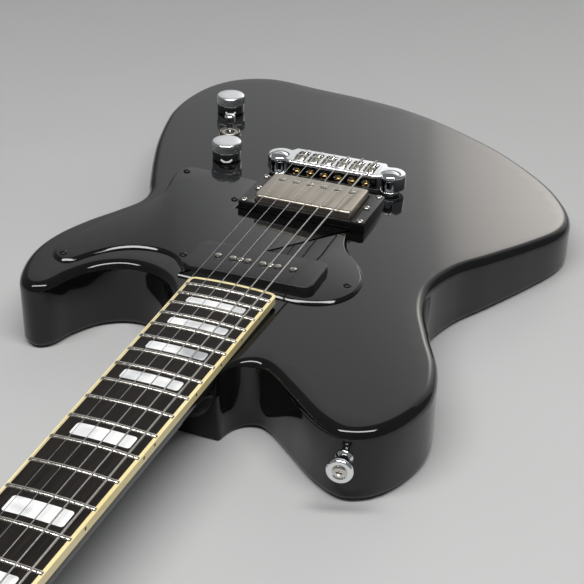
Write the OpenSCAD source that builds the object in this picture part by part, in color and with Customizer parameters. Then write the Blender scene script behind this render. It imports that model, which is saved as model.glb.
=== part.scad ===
// Six-string electric guitar with one cutaway, glued-in neck, soapbar and
// humbucking pickups and a wraparound bridge.
// Origin: on the flat back, under the string centreline at the scale line.
// +X is the treble side, +Y runs to the headstock, +Z comes out of the face.

/* [Strings and scale] */
// Scale length from nut to saddles
scale_len = 648; // [640:1:656]
// Spacing of the outer strings at the saddles
bridge_span = 51; // [48:0.5:52.5]
// Spacing of the outer strings at the nut
nut_span = 35.5; // [34:0.5:36.5]
// Height of the saddle crests above the body top
saddle_height = 16.5; // [15.5:0.1:17.5]

/* [Body] */
// Thickness of the body
body_t = 45; // [43:0.5:48]
// Radius of the rounded edge round the face
face_edge_r = 6; // [3:0.5:8]
// Radius of the rounded edge round the back
back_edge_r = 5; // [3:0.5:6]
// Depth of the forearm bevel at the lower bout
bevel_depth = 14; // [8:0.5:16]

/* [Neck] */
// Width of the neck at the nut
nut_w = 43; // [42:0.5:44]
// Width that the neck gains for each millimetre towards the body
neck_taper = 0.0278; // [0.024:0.0002:0.029]
// Tilt of the neck back from the body
neck_angle = 1.16; // [1:0.02:1.2]
// Height of the fret plane over the body top at the scale line
fret_rise = 13; // [12.8:0.1:13.2]
// Radius across the fingerboard
board_radius = 305; // [250:5:400]
// Number of frets
fret_count = 22; // [20:1:22]

/* [Controls] */
// Radius of a control knob
knob_r = 10.7; // [9:0.1:11]
// Height of a control knob
knob_h = 13.2; // [12:0.1:16]

/* [Hidden] */
$fn = 48;
eps = 0.02;

// Heights of the neck stack, measured down from the plane of the fret tops
fret_h = 1.1;
board_t = 6;
board_top = -fret_h;
board_low = board_top - board_t;
heel_low = board_low - 16;
head_face = board_low - 6;
head_t = 14;
head_low = head_face - head_t;
heel_start = 183;
body_end = 254;
board_end = 172.5;
binding_w = 2;
nut_t = 3.5;
saddle_z = body_t + saddle_height;

// Strings, from string 1 on the treble side to string 6 on the bass side
string_r = [0.13, 0.17, 0.22, 0.33, 0.46, 0.58];
function saddle_x(i) = bridge_span * (0.5 - i / 5);
function nut_x(i) = nut_span * (0.5 - i / 5);
// Where string i lies across the neck at distance s from the saddles
function string_x(i, s) = saddle_x(i) + (nut_x(i) - saddle_x(i)) * s / scale_len;

// Neck frame: x across, s along the neck, h up from the plane of the fret tops
function neck_point(p) = [
    p[0],
    p[1] * cos(neck_angle) + p[2] * sin(neck_angle),
    body_t + fret_rise - p[1] * sin(neck_angle) + p[2] * cos(neck_angle)
];
module neck_frame() {
    translate([0, 0, body_t + fret_rise]) rotate([-neck_angle, 0, 0]) children();
}
function half_w(s) = (nut_w + neck_taper * (scale_len - s)) / 2;
function fret_s(n) = scale_len * pow(2, -n / 12);

// Catmull-Rom spline through p1 and p2
function curve(p0, p1, p2, p3, t) = 0.5 * (2 * p1 + (p2 - p0) * t
    + (2 * p0 - 5 * p1 + 4 * p2 - p3) * t * t + (3 * p1 - p0 - 3 * p2 + p3) * t * t * t);
function ring_curve(p, steps) = [
    for (i = [0 : len(p) - 1], k = [0 : steps - 1])
        curve(p[(i + len(p) - 1) % len(p)], p[i], p[(i + 1) % len(p)], p[(i + 2) % len(p)], k / steps)
];
function line_curve(p, steps) = concat([
    for (i = [0 : len(p) - 2], k = [0 : steps - 1])
        curve(p[max(i - 1, 0)], p[i], p[i + 1], p[min(i + 2, len(p) - 1)], k / steps)
], [p[len(p) - 1]]);
function unit(v) = v / norm(v);
// Outward normals of a counter-clockwise ring
function ring_normals(p) = [
    for (i = [0 : len(p) - 1])
        let (d = unit(p[(i + 1) % len(p)] - p[(i + len(p) - 1) % len(p)])) [d[1], -d[0]]
];

// Body outline, counter-clockwise seen from the front. It starts at the bass corner of the
// heel block and ends at the treble corner, and the end face of the block closes it.
body_points = [
    [-27, 254], [-28.4, 247], [-31.5, 240.5], [-37, 236], [-44, 235], [-53, 240], [-68, 252.5],
    [-90, 270.5], [-108, 277.5], [-124, 269.5], [-135, 251], [-140, 225], [-134, 195],
    [-121, 167], [-109, 138], [-105.5, 112], [-113, 82], [-128, 54], [-146, 19], [-159, -12],
    [-160.5, -36], [-152, -60], [-131, -88], [-93, -118], [-55, -136], [-15, -149], [24, -157],
    [74, -163], [109, -168], [130, -163], [147, -150], [158, -130], [163, -104], [162.5, -76],
    [157, -50], [147, -17], [135, 14], [122, 44], [114, 62], [113, 78], [121, 97], [131, 117],
    [139, 140], [141.5, 162], [138, 184], [129, 204], [118, 210], [109, 204], [103.5, 188],
    [94, 172], [80, 162.5], [64, 161.5], [48, 169], [37, 184], [31, 204], [28.6, 226], [27, 254]
];
outline = line_curve(body_points, 3);
outline_n = ring_normals(outline);

// Ring of the body wall: inset from the outline and height
function wall_ring(inset, z) = [
    for (i = [0 : len(outline) - 1]) [
        outline[i][0] - inset * outline_n[i][0], outline[i][1] - inset * outline_n[i][1], z
    ]
];
edge_steps = [90, 60, 30, 0];
body_rings = concat(
    [wall_ring(back_edge_r, -3)],
    [for (a = edge_steps) wall_ring(back_edge_r * (1 - cos(a)), back_edge_r * (1 - sin(a)))],
    [for (k = [3 : -1 : 0]) wall_ring(
        face_edge_r * (1 - cos(edge_steps[k])), body_t - face_edge_r * (1 - sin(edge_steps[k])))],
    [wall_ring(face_edge_r, body_t + 3)]
);

// Closed solid from rings of equal length, bottom to top
module loft(rings) {
    n = len(rings[0]);
    last = len(rings) - 1;
    polyhedron(
        points = [for (r = rings) each r],
        faces = concat(
            [[for (i = [0 : n - 1]) i]],
            [[for (i = [n - 1 : -1 : 0]) last * n + i]],
            [for (j = [0 : last - 1], i = [0 : n - 1])
                [j * n + i, (j + 1) * n + i, (j + 1) * n + (i + 1) % n, j * n + (i + 1) % n]]
        ));
}

// Tube of radius r along points p, with its sides turned from the direction ref
module tube(p, r, ref, sides = 6) {
    n = len(p);
    loft([
        for (i = [n - 1 : -1 : 0])
            let (
                d = unit(p[min(i + 1, n - 1)] - p[max(i - 1, 0)]),
                u = unit(cross(d, ref)),
                v = cross(d, u)
            )
            [for (k = [0 : sides - 1]) p[i] + r * (u * cos(360 * k / sides) + v * sin(360 * k / sides))]
    ]);
}

// Corners of a rectangle with rounded corners, for plates cut by the arched board
function round_corners(w, d, r) = [
    for (q = [[1, 1, 0], [-1, 1, 90], [-1, -1, 180], [1, -1, 270]], a = [0 : 30 : 90])
        [q[0] * (w / 2 - r) + r * cos(q[2] + a), q[1] * (d / 2 - r) + r * sin(q[2] + a)]
];

module rounded_plate(w, d, r) {
    for (sx = [-1, 1], sy = [-1, 1]) {
        translate([sx * (w / 2 - r), sy * (d / 2 - r)]) circle(r);
    }
    square([w - 2 * r, d], center = true);
    square([w, d - 2 * r], center = true);
}

// Wood or machine screw: domed head on top of z = 0, shank below
module screw(head_r, head_h, shank_r, length) {
    rotate_extrude() {
        polygon([
            [0, -length], [shank_r, -length], [shank_r, 0], [head_r, 0], [head_r, head_h * 0.4],
            [head_r * 0.62, head_h * 0.88], [0, head_h]
        ]);
    }
}

// ---- Body and its fastenings ----

neck_pickup_y = 140;
bridge_pickup_y = 44;
pickup_rout = 20;
stud_x = 41;
stud_y = 1;
stud_floor = 22;
cover_t = 2.5;
cavity_top = body_t - 6;
volume_at = [85, -6];
tone_at = [118, -87];
toggle_at = [100, -45];
cavity_r = 18;
cavity_dir = unit(tone_at - volume_at);
cavity_ends = [volume_at - 8 * cavity_dir, tone_at + 13 * cavity_dir];
jack_y = -92;
jack_z = 21;
jack_face = 161.5;
strap_hole_r = 1.8;
strap_places = [
    // position of the seat, and turn of the button's axis about Z from +Y
    [[-109, 276.6, 29], 8],
    [[-15, -148.2, 24], 164]
];

module cavity_shape(grow) {
    hull_len = norm(cavity_ends[1] - cavity_ends[0]);
    turn = atan2(cavity_dir[1], cavity_dir[0]);
    for (e = cavity_ends) translate(e) circle(cavity_r + grow);
    translate(cavity_ends[0]) rotate(turn) translate([0, -cavity_r - grow])
        square([hull_len, 2 * (cavity_r + grow)]);
}

function heel_outline(extra) = [
    [-half_w(heel_start) - extra, heel_start - extra],
    [half_w(heel_start) + extra, heel_start - extra],
    [half_w(258) + extra, 258],
    [-half_w(258) - extra, 258]
];

module at_strap_buttons() {
    for (s = strap_places) translate(s[0]) rotate([0, 0, s[1]]) rotate([-90, 0, 0]) children();
}

// Plane that bevels the lower bout where the forearm rests
bevel_from = [-14, -150];
bevel_to = [-101, 92];
bevel_reach = 97;
module forearm_bevel() {
    run = bevel_to - bevel_from;
    translate([bevel_from[0], bevel_from[1], body_t])
        rotate([0, 0, atan2(run[1], run[0])])
        rotate([atan2(bevel_depth, bevel_reach), 0, 0])
        translate([-80, 0, 0]) cube([norm(run) + 160, 140, 40]);
}

module body_blank() {
    intersection() {
        loft(body_rings);
        translate([-300, -300, 0]) cube([600, 800, body_t]);
    }
}

module body() {
    color("black") difference() {
        body_blank();
        forearm_bevel();
        // mortise for the glued-in tenon of the neck
        neck_frame() translate([0, 0, heel_low - 0.05]) linear_extrude(60) polygon(heel_outline(0.05));
        // pickup routs, the wire ways between them and on to the control cavity
        translate([0, neck_pickup_y, body_t - pickup_rout]) linear_extrude(30) rounded_plate(88, 38, 6);
        translate([0, bridge_pickup_y, body_t - pickup_rout - 3]) linear_extrude(30) {
            rounded_plate(72, 41, 4);
            rounded_plate(85.6, 15, 3);
        }
        translate([20, bridge_pickup_y, 31]) rotate([-90, 0, 0]) cylinder(r = 3.5, h = 90);
        translate([28, bridge_pickup_y - 12, 30]) rotate([0, 90, atan2(-38, 54)]) cylinder(r = 3.5, h = 62);
        // bridge stud inserts
        for (sx = [-1, 1]) translate([sx * stud_x, stud_y, stud_floor]) cylinder(r = 5.5, h = 60);
        // control cavity, its cover seat and the holes through the face
        translate([0, 0, -1]) linear_extrude(cavity_top + 1) cavity_shape(0);
        translate([0, 0, -1]) linear_extrude(cover_t + 1) cavity_shape(6);
        for (p = [volume_at, tone_at]) translate([p[0], p[1], 0]) cylinder(r = 4.05, h = 60);
        translate([toggle_at[0], toggle_at[1], 0]) cylinder(r = 6.05, h = 60);
        // output jack
        translate([130, jack_y, jack_z]) rotate([0, 90, 0]) cylinder(r = 10.55, h = 40);
        translate([jack_face, jack_y, jack_z]) rotate([0, 90, 0]) cylinder(r = 13.2, h = 20);
        // screws into the wood
        at_strap_buttons() translate([0, 0, -26]) cylinder(r = strap_hole_r, h = 40);
        at_strap_buttons() translate([0, 0, 0]) cylinder(r = 5.2, h = 20);
        for (p = guard_screw_xy) translate([p[0], p[1], body_t - 9]) cylinder(r = 1.25, h = 20);
        for (p = ring_screw_xy) translate([p[0], p[1], body_t - 9]) cylinder(r = 1.25, h = 20);
        for (p = cover_screw_xy) translate([p[0], p[1], -1]) cylinder(r = 1.25, h = 12);
        for (sx = [-1, 1]) translate([sx * 10, neck_pickup_y, 14]) cylinder(r = 1.45, h = 30);
    }
}

module strap_buttons() {
    color("silver") at_strap_buttons() rotate_extrude() difference() {
        polygon([
            [0, 0], [5, 0], [5, 1.2], [3.9, 4], [3.9, 8.6], [6.2, 10.4], [7.3, 11.2], [7.3, 13],
            [6.6, 14], [0, 14]
        ]);
        translate([0, -1]) square([1.85, 20]);
        translate([0, 11.8]) polygon([[0, 0], [1.85, 0], [4.2, 2.3], [0, 2.3]]);
    }
}

module strap_screws() {
    color("silver") at_strap_buttons() rotate_extrude() polygon([
        [0, -22], [1.75, -22], [1.75, 11.8], [3.9, 13.9], [2.6, 14.7], [0, 15]
    ]);
}

// ---- Pickguard and the small wood screws ----

guard_t = 2;
guard_points = [
    // horn lobe, down the treble waist, round the bridge pickup and back along the bass side
    [[126, 152], [127.5, 163], [124, 172], [117, 176.5], [111, 175], [106.5, 169.5], [102, 161.5],
        [94, 151.5], [85, 145], [75, 141.5], [64, 141], [54, 144.5], [47, 151], [42.5, 157], [41, 165]],
    [[-26, 166], [-38, 166.5], [-50, 163.5], [-59.5, 157], [-65.5, 147], [-66.8, 135], [-64.5, 123],
        [-57.5, 110], [-49, 100], [-42, 90], [-38, 78], [-37, 67.4]],
    [[45, 67.4], [45, 24]],
    [[60, 21], [80, 20], [96, 19.5], [104, 22], [107, 30], [105.5, 42], [102.5, 55], [101, 67],
        [103, 80], [109, 96], [117, 114], [123, 134], [126, 152]]
];
guard_outline = concat(
    line_curve(guard_points[0], 3), line_curve(guard_points[1], 3), guard_points[2],
    line_curve(guard_points[3], 3));
guard_screw_xy = [
    [118.5, 168.5], [48.8, 141], [100, 29], [51, 56.5], [-59.3, 137.4]
];
ring_screw_xy = [for (sx = [-1, 1], sy = [-1, 1]) [sx * 41, bridge_pickup_y + sy * 19.5]];
cover_screw_xy = [for (e = [0, 1], s = [-1, 1])
    cavity_ends[e] + (e * 2 - 1) * 13 * cavity_dir + s * 16.5 * [-cavity_dir[1], cavity_dir[0]]];

module pickguard() {
    color("black") difference() {
        translate([0, 0, body_t]) linear_extrude(guard_t) polygon(guard_outline);
        translate([0, neck_pickup_y, 0]) linear_extrude(80) rounded_plate(86.6, 35.6, 6.3);
        for (p = guard_screw_xy) translate([p[0], p[1], 0]) cylinder(r = 1.35, h = 80);
        // room for the neck heel
        neck_frame() translate([0, 0, heel_low - 5]) linear_extrude(60)
            translate([0, 0]) polygon(heel_outline(0.3));
    }
}

truss_screw_xs = [[-6, 676], [6, 676], [0, 700]];
module black_screws() {
    color("black") {
        for (p = guard_screw_xy) translate([p[0], p[1], body_t + guard_t]) screw(2.4, 1.2, 1.2, 9);
        neck_frame() for (p = truss_screw_xs) translate([p[0], p[1], head_face + 1.8]) screw(1.9, 1, 0.9, 6);
        for (p = cover_screw_xy) translate([p[0], p[1], 1.2]) mirror([0, 0, 1]) screw(2.4, 1.15, 1.2, 9);
    }
}

module chrome_screws() {
    color("silver") {
        for (p = ring_screw_xy) translate([p[0], p[1], ring_top]) screw(2.2, 1.1, 1.2, 14);
        at_tuners() translate([-5.2, -5.6, head_low - 10]) mirror([0, 0, 1]) screw(1.7, 0.9, 0.95, 16);
        neck_frame() for (t = tree_xs) translate([t[0], t[1], tree_top]) screw(1.9, 0.8, 1.1, 14);
    }
}

// ---- Neck ----

head_points = [
    [21.5, 648], [22.3, 664], [25, 688], [28.5, 730], [31, 775], [31.5, 806], [27, 826],
    [17, 834], [7, 829.5], [1, 816], [-8, 786], [-19.5, 743], [-30, 703], [-34, 686], [-32.5, 675],
    [-26, 665], [-21.8, 656], [-21.5, 648]
];

// Rounded back of the neck: half of a superellipse under a flat top
module neck_slice(s, depth) {
    w = half_w(s);
    translate([0, s, board_low]) rotate([90, 0, 0]) linear_extrude(0.5)
        polygon([for (a = [0 : 12 : 180])
            [w * sign(cos(a)) * pow(abs(cos(a)), 0.75), -depth * pow(sin(a), 0.9)]]);
}

module neck_blank() {
    translate([0, 0, heel_low]) linear_extrude(board_low - heel_low) polygon(heel_outline(0));
    // the heel sweeps down to meet the end face of the body's heel block
    difference() {
        for (k = [0 : len(heel_sweep) - 2]) hull() {
            neck_slice(heel_sweep[k][0], heel_sweep[k][1]);
            neck_slice(heel_sweep[k + 1][0], heel_sweep[k + 1][1]);
        }
        rotate([neck_angle, 0, 0]) translate([-60, 150, -120])
            cube([120, body_end + 0.02 - 150, 240]);
    }
    hull() {
        neck_slice(653.5, 14.3);
        neck_slice(649, 14.3);
        translate([0, 668, head_low]) linear_extrude(head_t) square([44, 6], center = true);
    }
    translate([0, 0, head_low]) linear_extrude(head_t) difference() {
        polygon(line_curve(head_points, 3));
        translate([-30, 640]) square([60, 24]);
    }
}

heel_sweep = [[253.5, 36], [259, 28.5], [266, 22], [280, 17.5], [296, 15.8], [650, 14.3]];
rod_from = 196;
rod_to = 668;
module neck() {
    color("black") difference() {
        neck_frame() difference() {
            neck_blank();
            // slot for the truss rod, open at the headstock under the cover
            translate([-3, rod_from, board_low - 9]) cube([6, rod_to - rod_from, 9.02]);
            translate([0, 690, head_face - 6]) linear_extrude(20) rounded_plate(9, 26, 3);
            translate([-4.5, 655, board_low - 8.5]) cube([9, 30, 9]);
            for (p = truss_screw_xs) translate([p[0], p[1], head_face - 8]) cylinder(r = 0.95, h = 10);
            for (t = tree_xs) translate([t[0], t[1], head_face - 9]) cylinder(r = 1.15, h = 12);
            for (n = side_dot_list) side_dot(n, 0.02);
        }
        at_tuners() translate([0, 0, -80]) cylinder(r = 5.05, h = 100);
        at_tuners() translate([-5.2, -5.6, head_low - 1]) cylinder(r = 1, h = 8.5);
    }
}

board_corner = 4;
// Plan of the fingerboard, with rounded corners at the body end
function board_plan(inset) = concat(
    [for (a = [180 : 15 : 270]) [
        -half_w(board_end) + inset + (board_corner - inset) * (1 + cos(a)),
        board_end + inset + (board_corner - inset) * (1 + sin(a))]],
    [for (a = [270 : 15 : 360]) [
        half_w(board_end) - inset - (board_corner - inset) * (1 - cos(a)),
        board_end + inset + (board_corner - inset) * (1 + sin(a))]],
    [[half_w(scale_len) - inset, scale_len], [-half_w(scale_len) + inset, scale_len]]
);

// Long cylinder whose top is the arched playing surface raised by rise
module arch(rise) {
    translate([0, 100, board_top - board_radius]) rotate([-90, 0, 0])
        cylinder(r = board_radius + rise, h = 620, $fn = 720);
}

module board_solid(inset) {
    intersection() {
        translate([0, 0, board_low]) linear_extrude(20) polygon(board_plan(inset));
        arch(0);
    }
}

module fretboard() {
    color("dimgray") neck_frame() difference() {
        board_solid(binding_w);
        inlay_blocks(0);
    }
}

module binding() {
    color("ivory") neck_frame() difference() {
        board_solid(0);
        translate([0, 0, board_low - 1]) linear_extrude(20) intersection() {
            polygon(board_plan(binding_w));
            translate([-40, board_end + 1]) square([80, scale_len]);
        }
        translate([-40, scale_len - eps, -20]) cube([80, 10, 40]);
        for (n = side_dot_list) side_dot(n, 0.01);
    }
}

module frets() {
    color("silver") neck_frame() intersection() {
        difference() {
            arch(fret_h);
            arch(0);
        }
        for (n = [1 : fret_count]) {
            w = half_w(fret_s(n)) - 0.6;
            translate([-w, fret_s(n) - 1.3, -10]) cube([2 * w, 2.6, 20]);
        }
    }
}

// Block inlays: fret number of each, in front of which it lies
inlay_list = [1, 3, 5, 7, 9, 12, 15, 17, 19, 21];
inlay_t = 2;
module inlay_blocks(shrink) {
    intersection() {
        arch(0);
        for (n = inlay_list) {
            near = fret_s(n);
            far = fret_s(n - 1);
            w = 2 * half_w(near) * 0.66;
            d = (far - near) * 0.52;
            translate([0, (near + far) / 2, board_top - 1.3 - inlay_t]) linear_extrude(20)
                polygon(round_corners(w - shrink, d - shrink, 1.6));
        }
    }
}

module inlays() {
    color("white") neck_frame() inlay_blocks(0.02);
}

// Dots on the bass edge of the binding
side_dot_list = [3, 5, 7, 9, 11.7, 12.3, 15, 17, 19, 21];
module side_dot(n, grow) {
    s = (fret_s(n) + fret_s(n - 1)) / 2;
    translate([-half_w(s), s, board_top - 3]) rotate([0, 90, 0])
        translate([0, 0, -0.05]) cylinder(r = 1 + grow, h = 1.2 + grow, $fn = 24);
}

module side_dots() {
    color("black") neck_frame() intersection() {
        for (n = side_dot_list) side_dot(n, 0);
        translate([0, 0, board_low]) linear_extrude(20) polygon(board_plan(0));
    }
}

module nut() {
    color("ivory") difference() {
        neck_frame() intersection() {
            translate([-half_w(scale_len), scale_len, board_low])
                cube([2 * half_w(scale_len), nut_t, 20]);
            arch(fret_h + 1.2);
        }
        for (i = [0 : 5]) tube(string_main(i), string_r[i] + 0.05, [1, 0, 0], 8);
    }
}

module truss_rod() {
    color("silver") neck_frame() {
        translate([-2.9, rod_from + 0.5, board_low - 8.9]) cube([5.8, rod_to - rod_from - 15, 8.6]);
        translate([0, rod_to - 15, board_low - 4.6]) rotate([-90, 0, 0]) cylinder(r = 2.4, h = 8);
        translate([0, rod_to - 7, board_low - 4.6]) rotate([-90, 0, 0]) difference() {
            cylinder(r = 3.6, h = 9.2);
            translate([0, 0, 3]) cylinder(r = 2.3, h = 10, $fn = 6);
        }
    }
}

module truss_rod_cover() {
    color("black") neck_frame() difference() {
        translate([0, 0, head_face]) linear_extrude(1.8)
            polygon(line_curve([
                [-10, 671], [10, 671], [9.6, 682], [7, 694], [4, 704], [0, 707], [-4, 704], [-7, 694],
                [-9.6, 682], [-10, 671]
            ], 3));
        for (p = truss_screw_xs) translate([p[0], p[1], -40]) cylinder(r = 0.95, h = 60);
    }
}

// ---- Strings ----

tuner_first = [-20.8, 682];
tuner_last = [12.4, 812];
tuner_turn = atan2(tuner_last[0] - tuner_first[0], tuner_last[1] - tuner_first[1]);
function tuner_xs(i) = tuner_first + (tuner_last - tuner_first) * (5 - i) / 5;
wrap_gap = 0.3;
post_r = 3;
wrap_top = head_face + 8;
tree_top = head_face + 6.2;
tree_bar = 1.4;
tree_xs = [
    [(string_x(0, 746) + string_x(1, 746)) / 2, 746],
    [(string_x(2, 718) + string_x(3, 718)) / 2, 718]
];
function wrap_radius(i) = post_r + wrap_gap + string_r[i];

// From the ball end back through the bridge, over its tail and the saddle, to the nut
bridge_bore_z = body_t + 7;
function string_main(i) = let (r = string_r[i], x = saddle_x(i)) [
    [x, 3, bridge_bore_z],
    [x, -12, bridge_bore_z],
    [x, -16.6 - r, bridge_bore_z + 1],
    [x, -17.6 - r, bridge_bore_z + 3.5],
    [x, -16.2 - r, bridge_bore_z + 6.6 + r],
    [x, -13.5, bridge_bore_z + 8 + r],
    [x, -0.7, saddle_z + r - 0.05],
    [x, 0.7, saddle_z + r - 0.02],
    neck_point([nut_x(i), scale_len + 0.4, 0.4 + r]),
    neck_point([nut_x(i), scale_len + 3, 0.15 + r])
];
// From the nut to the side of the tuner post, held down by a tree where there is one
function string_head(i) = let (
    r = string_r[i],
    post = tuner_xs(i),
    meet = [post[0] + wrap_radius(i), post[1], wrap_top],
    tree = i < 2 ? tree_xs[0] : tree_xs[1],
    held = [string_x(i, tree[1]), tree[1], tree_top - tree_bar - r - 0.5]
) concat(
    [neck_point([nut_x(i), scale_len + 2.8, 0.17 + r])],
    i < 4 ? [neck_point(held)] : [],
    [neck_point(meet)]
);
function string_wrap(i) = let (r = string_r[i], post = tuner_xs(i), turns = i < 3 ? 3 : 2) [
    for (a = [0 : 30 : 360 * turns]) neck_point([
        post[0] + wrap_radius(i) * cos(a), post[1] + wrap_radius(i) * sin(a),
        wrap_top - a / 360 * 2.15 * r
    ])
];

module strings(list) {
    for (i = list) {
        tube(string_main(i), string_r[i], [1, 0, 0], 8);
        tube(string_head(i), string_r[i], [1, 0, 0], 8);
        tube(string_wrap(i), string_r[i], [0, 0, 1]);
    }
}

module plain_strings() {
    color("silver") strings([0, 1, 2]);
}

module wound_strings() {
    color("silver") strings([3, 4, 5]);
}

module ball_ends() {
    color("gold") for (i = [0 : 5]) translate([saddle_x(i), 5, bridge_bore_z]) difference() {
        rotate([0, 90, 0]) cylinder(r = 2, h = 3.8, center = true);
        rotate([90, 0, 0]) cylinder(r = 0.7, h = 10, center = true);
    }
}

module string_trees() {
    color("silver") neck_frame() for (t = tree_xs) translate([t[0], t[1], 0]) difference() {
        union() {
            translate([0, 0, head_face]) cylinder(r = 2.2, h = tree_top - head_face);
            translate([-5.4, -1.6, tree_top - tree_bar]) cube([10.8, 3.2, tree_bar]);
        }
        translate([0, 0, head_face - 1]) cylinder(r = 1.15, h = 20);
    }
}

// ---- Tuners: the worm shaft in the housing turns the post ----

gear_gap = 7.5;
worm_h = head_low - 5;
button_r = 8.2;
// Tuner frame: origin on the post axis, +Y along the row of posts, +X away from the buttons
module at_tuners(list = [0 : 5]) {
    neck_frame() for (i = list) translate([tuner_xs(i)[0], tuner_xs(i)[1], 0])
        rotate([0, 0, -tuner_turn]) children();
}

module tuner_housings() {
    color("silver") at_tuners() difference() {
        translate([-11.5, -7.5, head_low - 10]) cube([19, 19.5, 10]);
        translate([-9.5, -5.9, head_low - 8.8]) cube([15.6, 16.3, 7.8]);
        translate([0, 0, head_low - 5]) cylinder(r = post_r + 0.05, h = 20);
        translate([-20, gear_gap, worm_h]) rotate([0, 90, 0]) cylinder(r = 1.55, h = 20);
        translate([-5.2, -5.6, head_low - 30]) cylinder(r = 1, h = 40);
    }
}

module tuner_bushings() {
    color("silver") at_tuners() difference() {
        union() {
            translate([0, 0, head_low + 0.2]) cylinder(r = 5, h = head_t);
            translate([0, 0, head_face]) cylinder(r = 7.2, h = 0.9);
            translate([0, 0, head_face + 0.9]) cylinder(r = 5.9, h = 2.4, $fn = 6);
        }
        translate([0, 0, -80]) cylinder(r = post_r + 0.05, h = 100);
    }
}

module tuner_post(i) {
    color("silver") at_tuners([i]) difference() {
        union() {
            translate([0, 0, head_low - 8]) cylinder(r = post_r, h = head_face + 16 - head_low + 8);
            translate([0, 0, worm_h - 1.6]) cylinder(r = 5.1, h = 3.2);
        }
        translate([0, 0, head_face + 5]) rotate([0, 90, tuner_turn]) cylinder(r = 0.8, h = 20, center = true);
    }
}

module tuner_button(i) {
    color("silver") at_tuners([i]) translate([0, gear_gap, worm_h]) rotate([0, -90, 0]) {
        translate([0, 0, -5.5]) cylinder(r = 1.5, h = 24);
        translate([0, 0, -3]) cylinder(r = 2.1, h = 8);
        translate([0, 0, 14]) cylinder(r = 3, h = 3.5);
        intersection() {
            translate([0, 0, 17]) cylinder(r = button_r, h = 13);
            translate([-20, -4.6, 0]) cube([40, 9.2, 60]);
            translate([0, 20, 19.5]) rotate([90, 0, 0]) cylinder(r = 10.5, h = 40);
        }
    }
}

// ---- Pickups ----

p90_top = body_t + 6;
pole_xs = [for (i = [0 : 5]) 25 - 10 * i];
ring_top = body_t + 7;
cover_top = body_t + 12;
hum_pole_y = bridge_pickup_y - 9.5;

module p90_cover() {
    color("black") translate([0, neck_pickup_y, 0]) difference() {
        translate([0, 0, p90_top - 16]) linear_extrude(16) rounded_plate(86, 35, 6);
        translate([0, 0, p90_top - 17]) linear_extrude(15.4) rounded_plate(82.6, 31.6, 4);
        for (x = pole_xs) translate([x, 0, 0]) cylinder(r = 1.75, h = 80);
        for (x = [-10, 10]) translate([x, 0, 0]) cylinder(r = 1.45, h = 80);
    }
}

module p90_baseplate() {
    color("silver") translate([0, neck_pickup_y, 0]) difference() {
        union() {
            translate([0, 0, p90_top - 17.5]) linear_extrude(1.5) rounded_plate(82, 31, 4);
            translate([-31, -3, p90_top - 16]) cube([62, 6, 3.2]);
        }
        for (x = pole_xs) translate([x, 0, 0]) cylinder(r = 1.75, h = 80);
        for (x = [-10, 10]) translate([x, 0, 0]) cylinder(r = 1.45, h = 80);
    }
}

module p90_coil() {
    color("black") translate([0, neck_pickup_y, p90_top - 12.6]) difference() {
        union() {
            linear_extrude(1.2) rounded_plate(80, 30, 4);
            linear_extrude(10.6) rounded_plate(76, 26, 6);
            translate([0, 0, 9.6]) linear_extrude(1.2) rounded_plate(80, 30, 4);
        }
        for (x = pole_xs) translate([x, 0, -1]) cylinder(r = 1.75, h = 80);
        for (x = [-10, 10]) translate([x, 0, -1]) cylinder(r = 1.45, h = 80);
    }
}

module humbucker_cover() {
    color("silver") translate([0, bridge_pickup_y, 0]) difference() {
        translate([0, 0, cover_top - 16]) linear_extrude(16) rounded_plate(68.6, 38.1, 3);
        translate([0, 0, cover_top - 17]) linear_extrude(16.2) rounded_plate(67, 36.5, 2.4);
        for (x = pole_xs) translate([x, hum_pole_y - bridge_pickup_y, 0]) cylinder(r = 2.55, h = 80);
    }
}

module humbucker_ring() {
    color("black") difference() {
        translate([0, bridge_pickup_y, body_t]) linear_extrude(ring_top - body_t) rounded_plate(89, 46, 2);
        translate([0, bridge_pickup_y, body_t - 1]) linear_extrude(20) rounded_plate(69.6, 39, 3.2);
        for (p = ring_screw_xy) translate([p[0], p[1], body_t - 1]) cylinder(r = 1.35, h = 20);
        for (sx = [-1, 1]) translate([sx * 38.7, bridge_pickup_y, body_t - 1]) cylinder(r = 1.6, h = 20);
    }
}

module humbucker_baseplate() {
    color("silver") translate([0, bridge_pickup_y, cover_top - 17.5]) difference() {
        union() {
            linear_extrude(1.5) rounded_plate(67, 37, 3);
            translate([0, 0, 0]) linear_extrude(1.5) rounded_plate(84, 12, 2);
        }
        for (x = pole_xs) translate([x, hum_pole_y - bridge_pickup_y, -1]) cylinder(r = 1.75, h = 20);
        for (sx = [-1, 1]) translate([sx * 38.7, 0, -1]) cylinder(r = 1.45, h = 20);
    }
}

module humbucker_coils() {
    color("black") for (sy = [-1, 1]) translate([0, bridge_pickup_y + sy * 9.25, cover_top - 12.4])
        difference() {
            union() {
                linear_extrude(1) rounded_plate(66, 17.8, 3);
                linear_extrude(11) rounded_plate(63, 15, 7);
                translate([0, 0, 10.2]) linear_extrude(1) rounded_plate(66, 17.8, 3);
            }
            for (x = pole_xs) translate([x, -sy * 9.25 + sy * 9.5, -1]) cylinder(r = 2.55, h = 80);
        }
}

magnet = [63.5, 12.7, 3.2];
module bar_magnets() {
    color("gray") {
        for (sy = [-1, 1]) translate([0, neck_pickup_y + sy * 9.4, p90_top - 14.35]) cube(magnet, center = true);
        translate([0, bridge_pickup_y, cover_top - 14.2]) cube([magnet[0], magnet[1], magnet[2]], center = true);
    }
}

module pole_screws() {
    color("silver") {
        for (x = pole_xs) translate([x, neck_pickup_y, p90_top]) screw(2.3, 1.2, 1.7, 19);
        for (x = pole_xs) translate([x, hum_pole_y, cover_top - 0.8]) {
            cylinder(r = 2.5, h = 1.2);
            translate([0, 0, -18]) cylinder(r = 1.7, h = 18);
        }
    }
}

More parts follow.
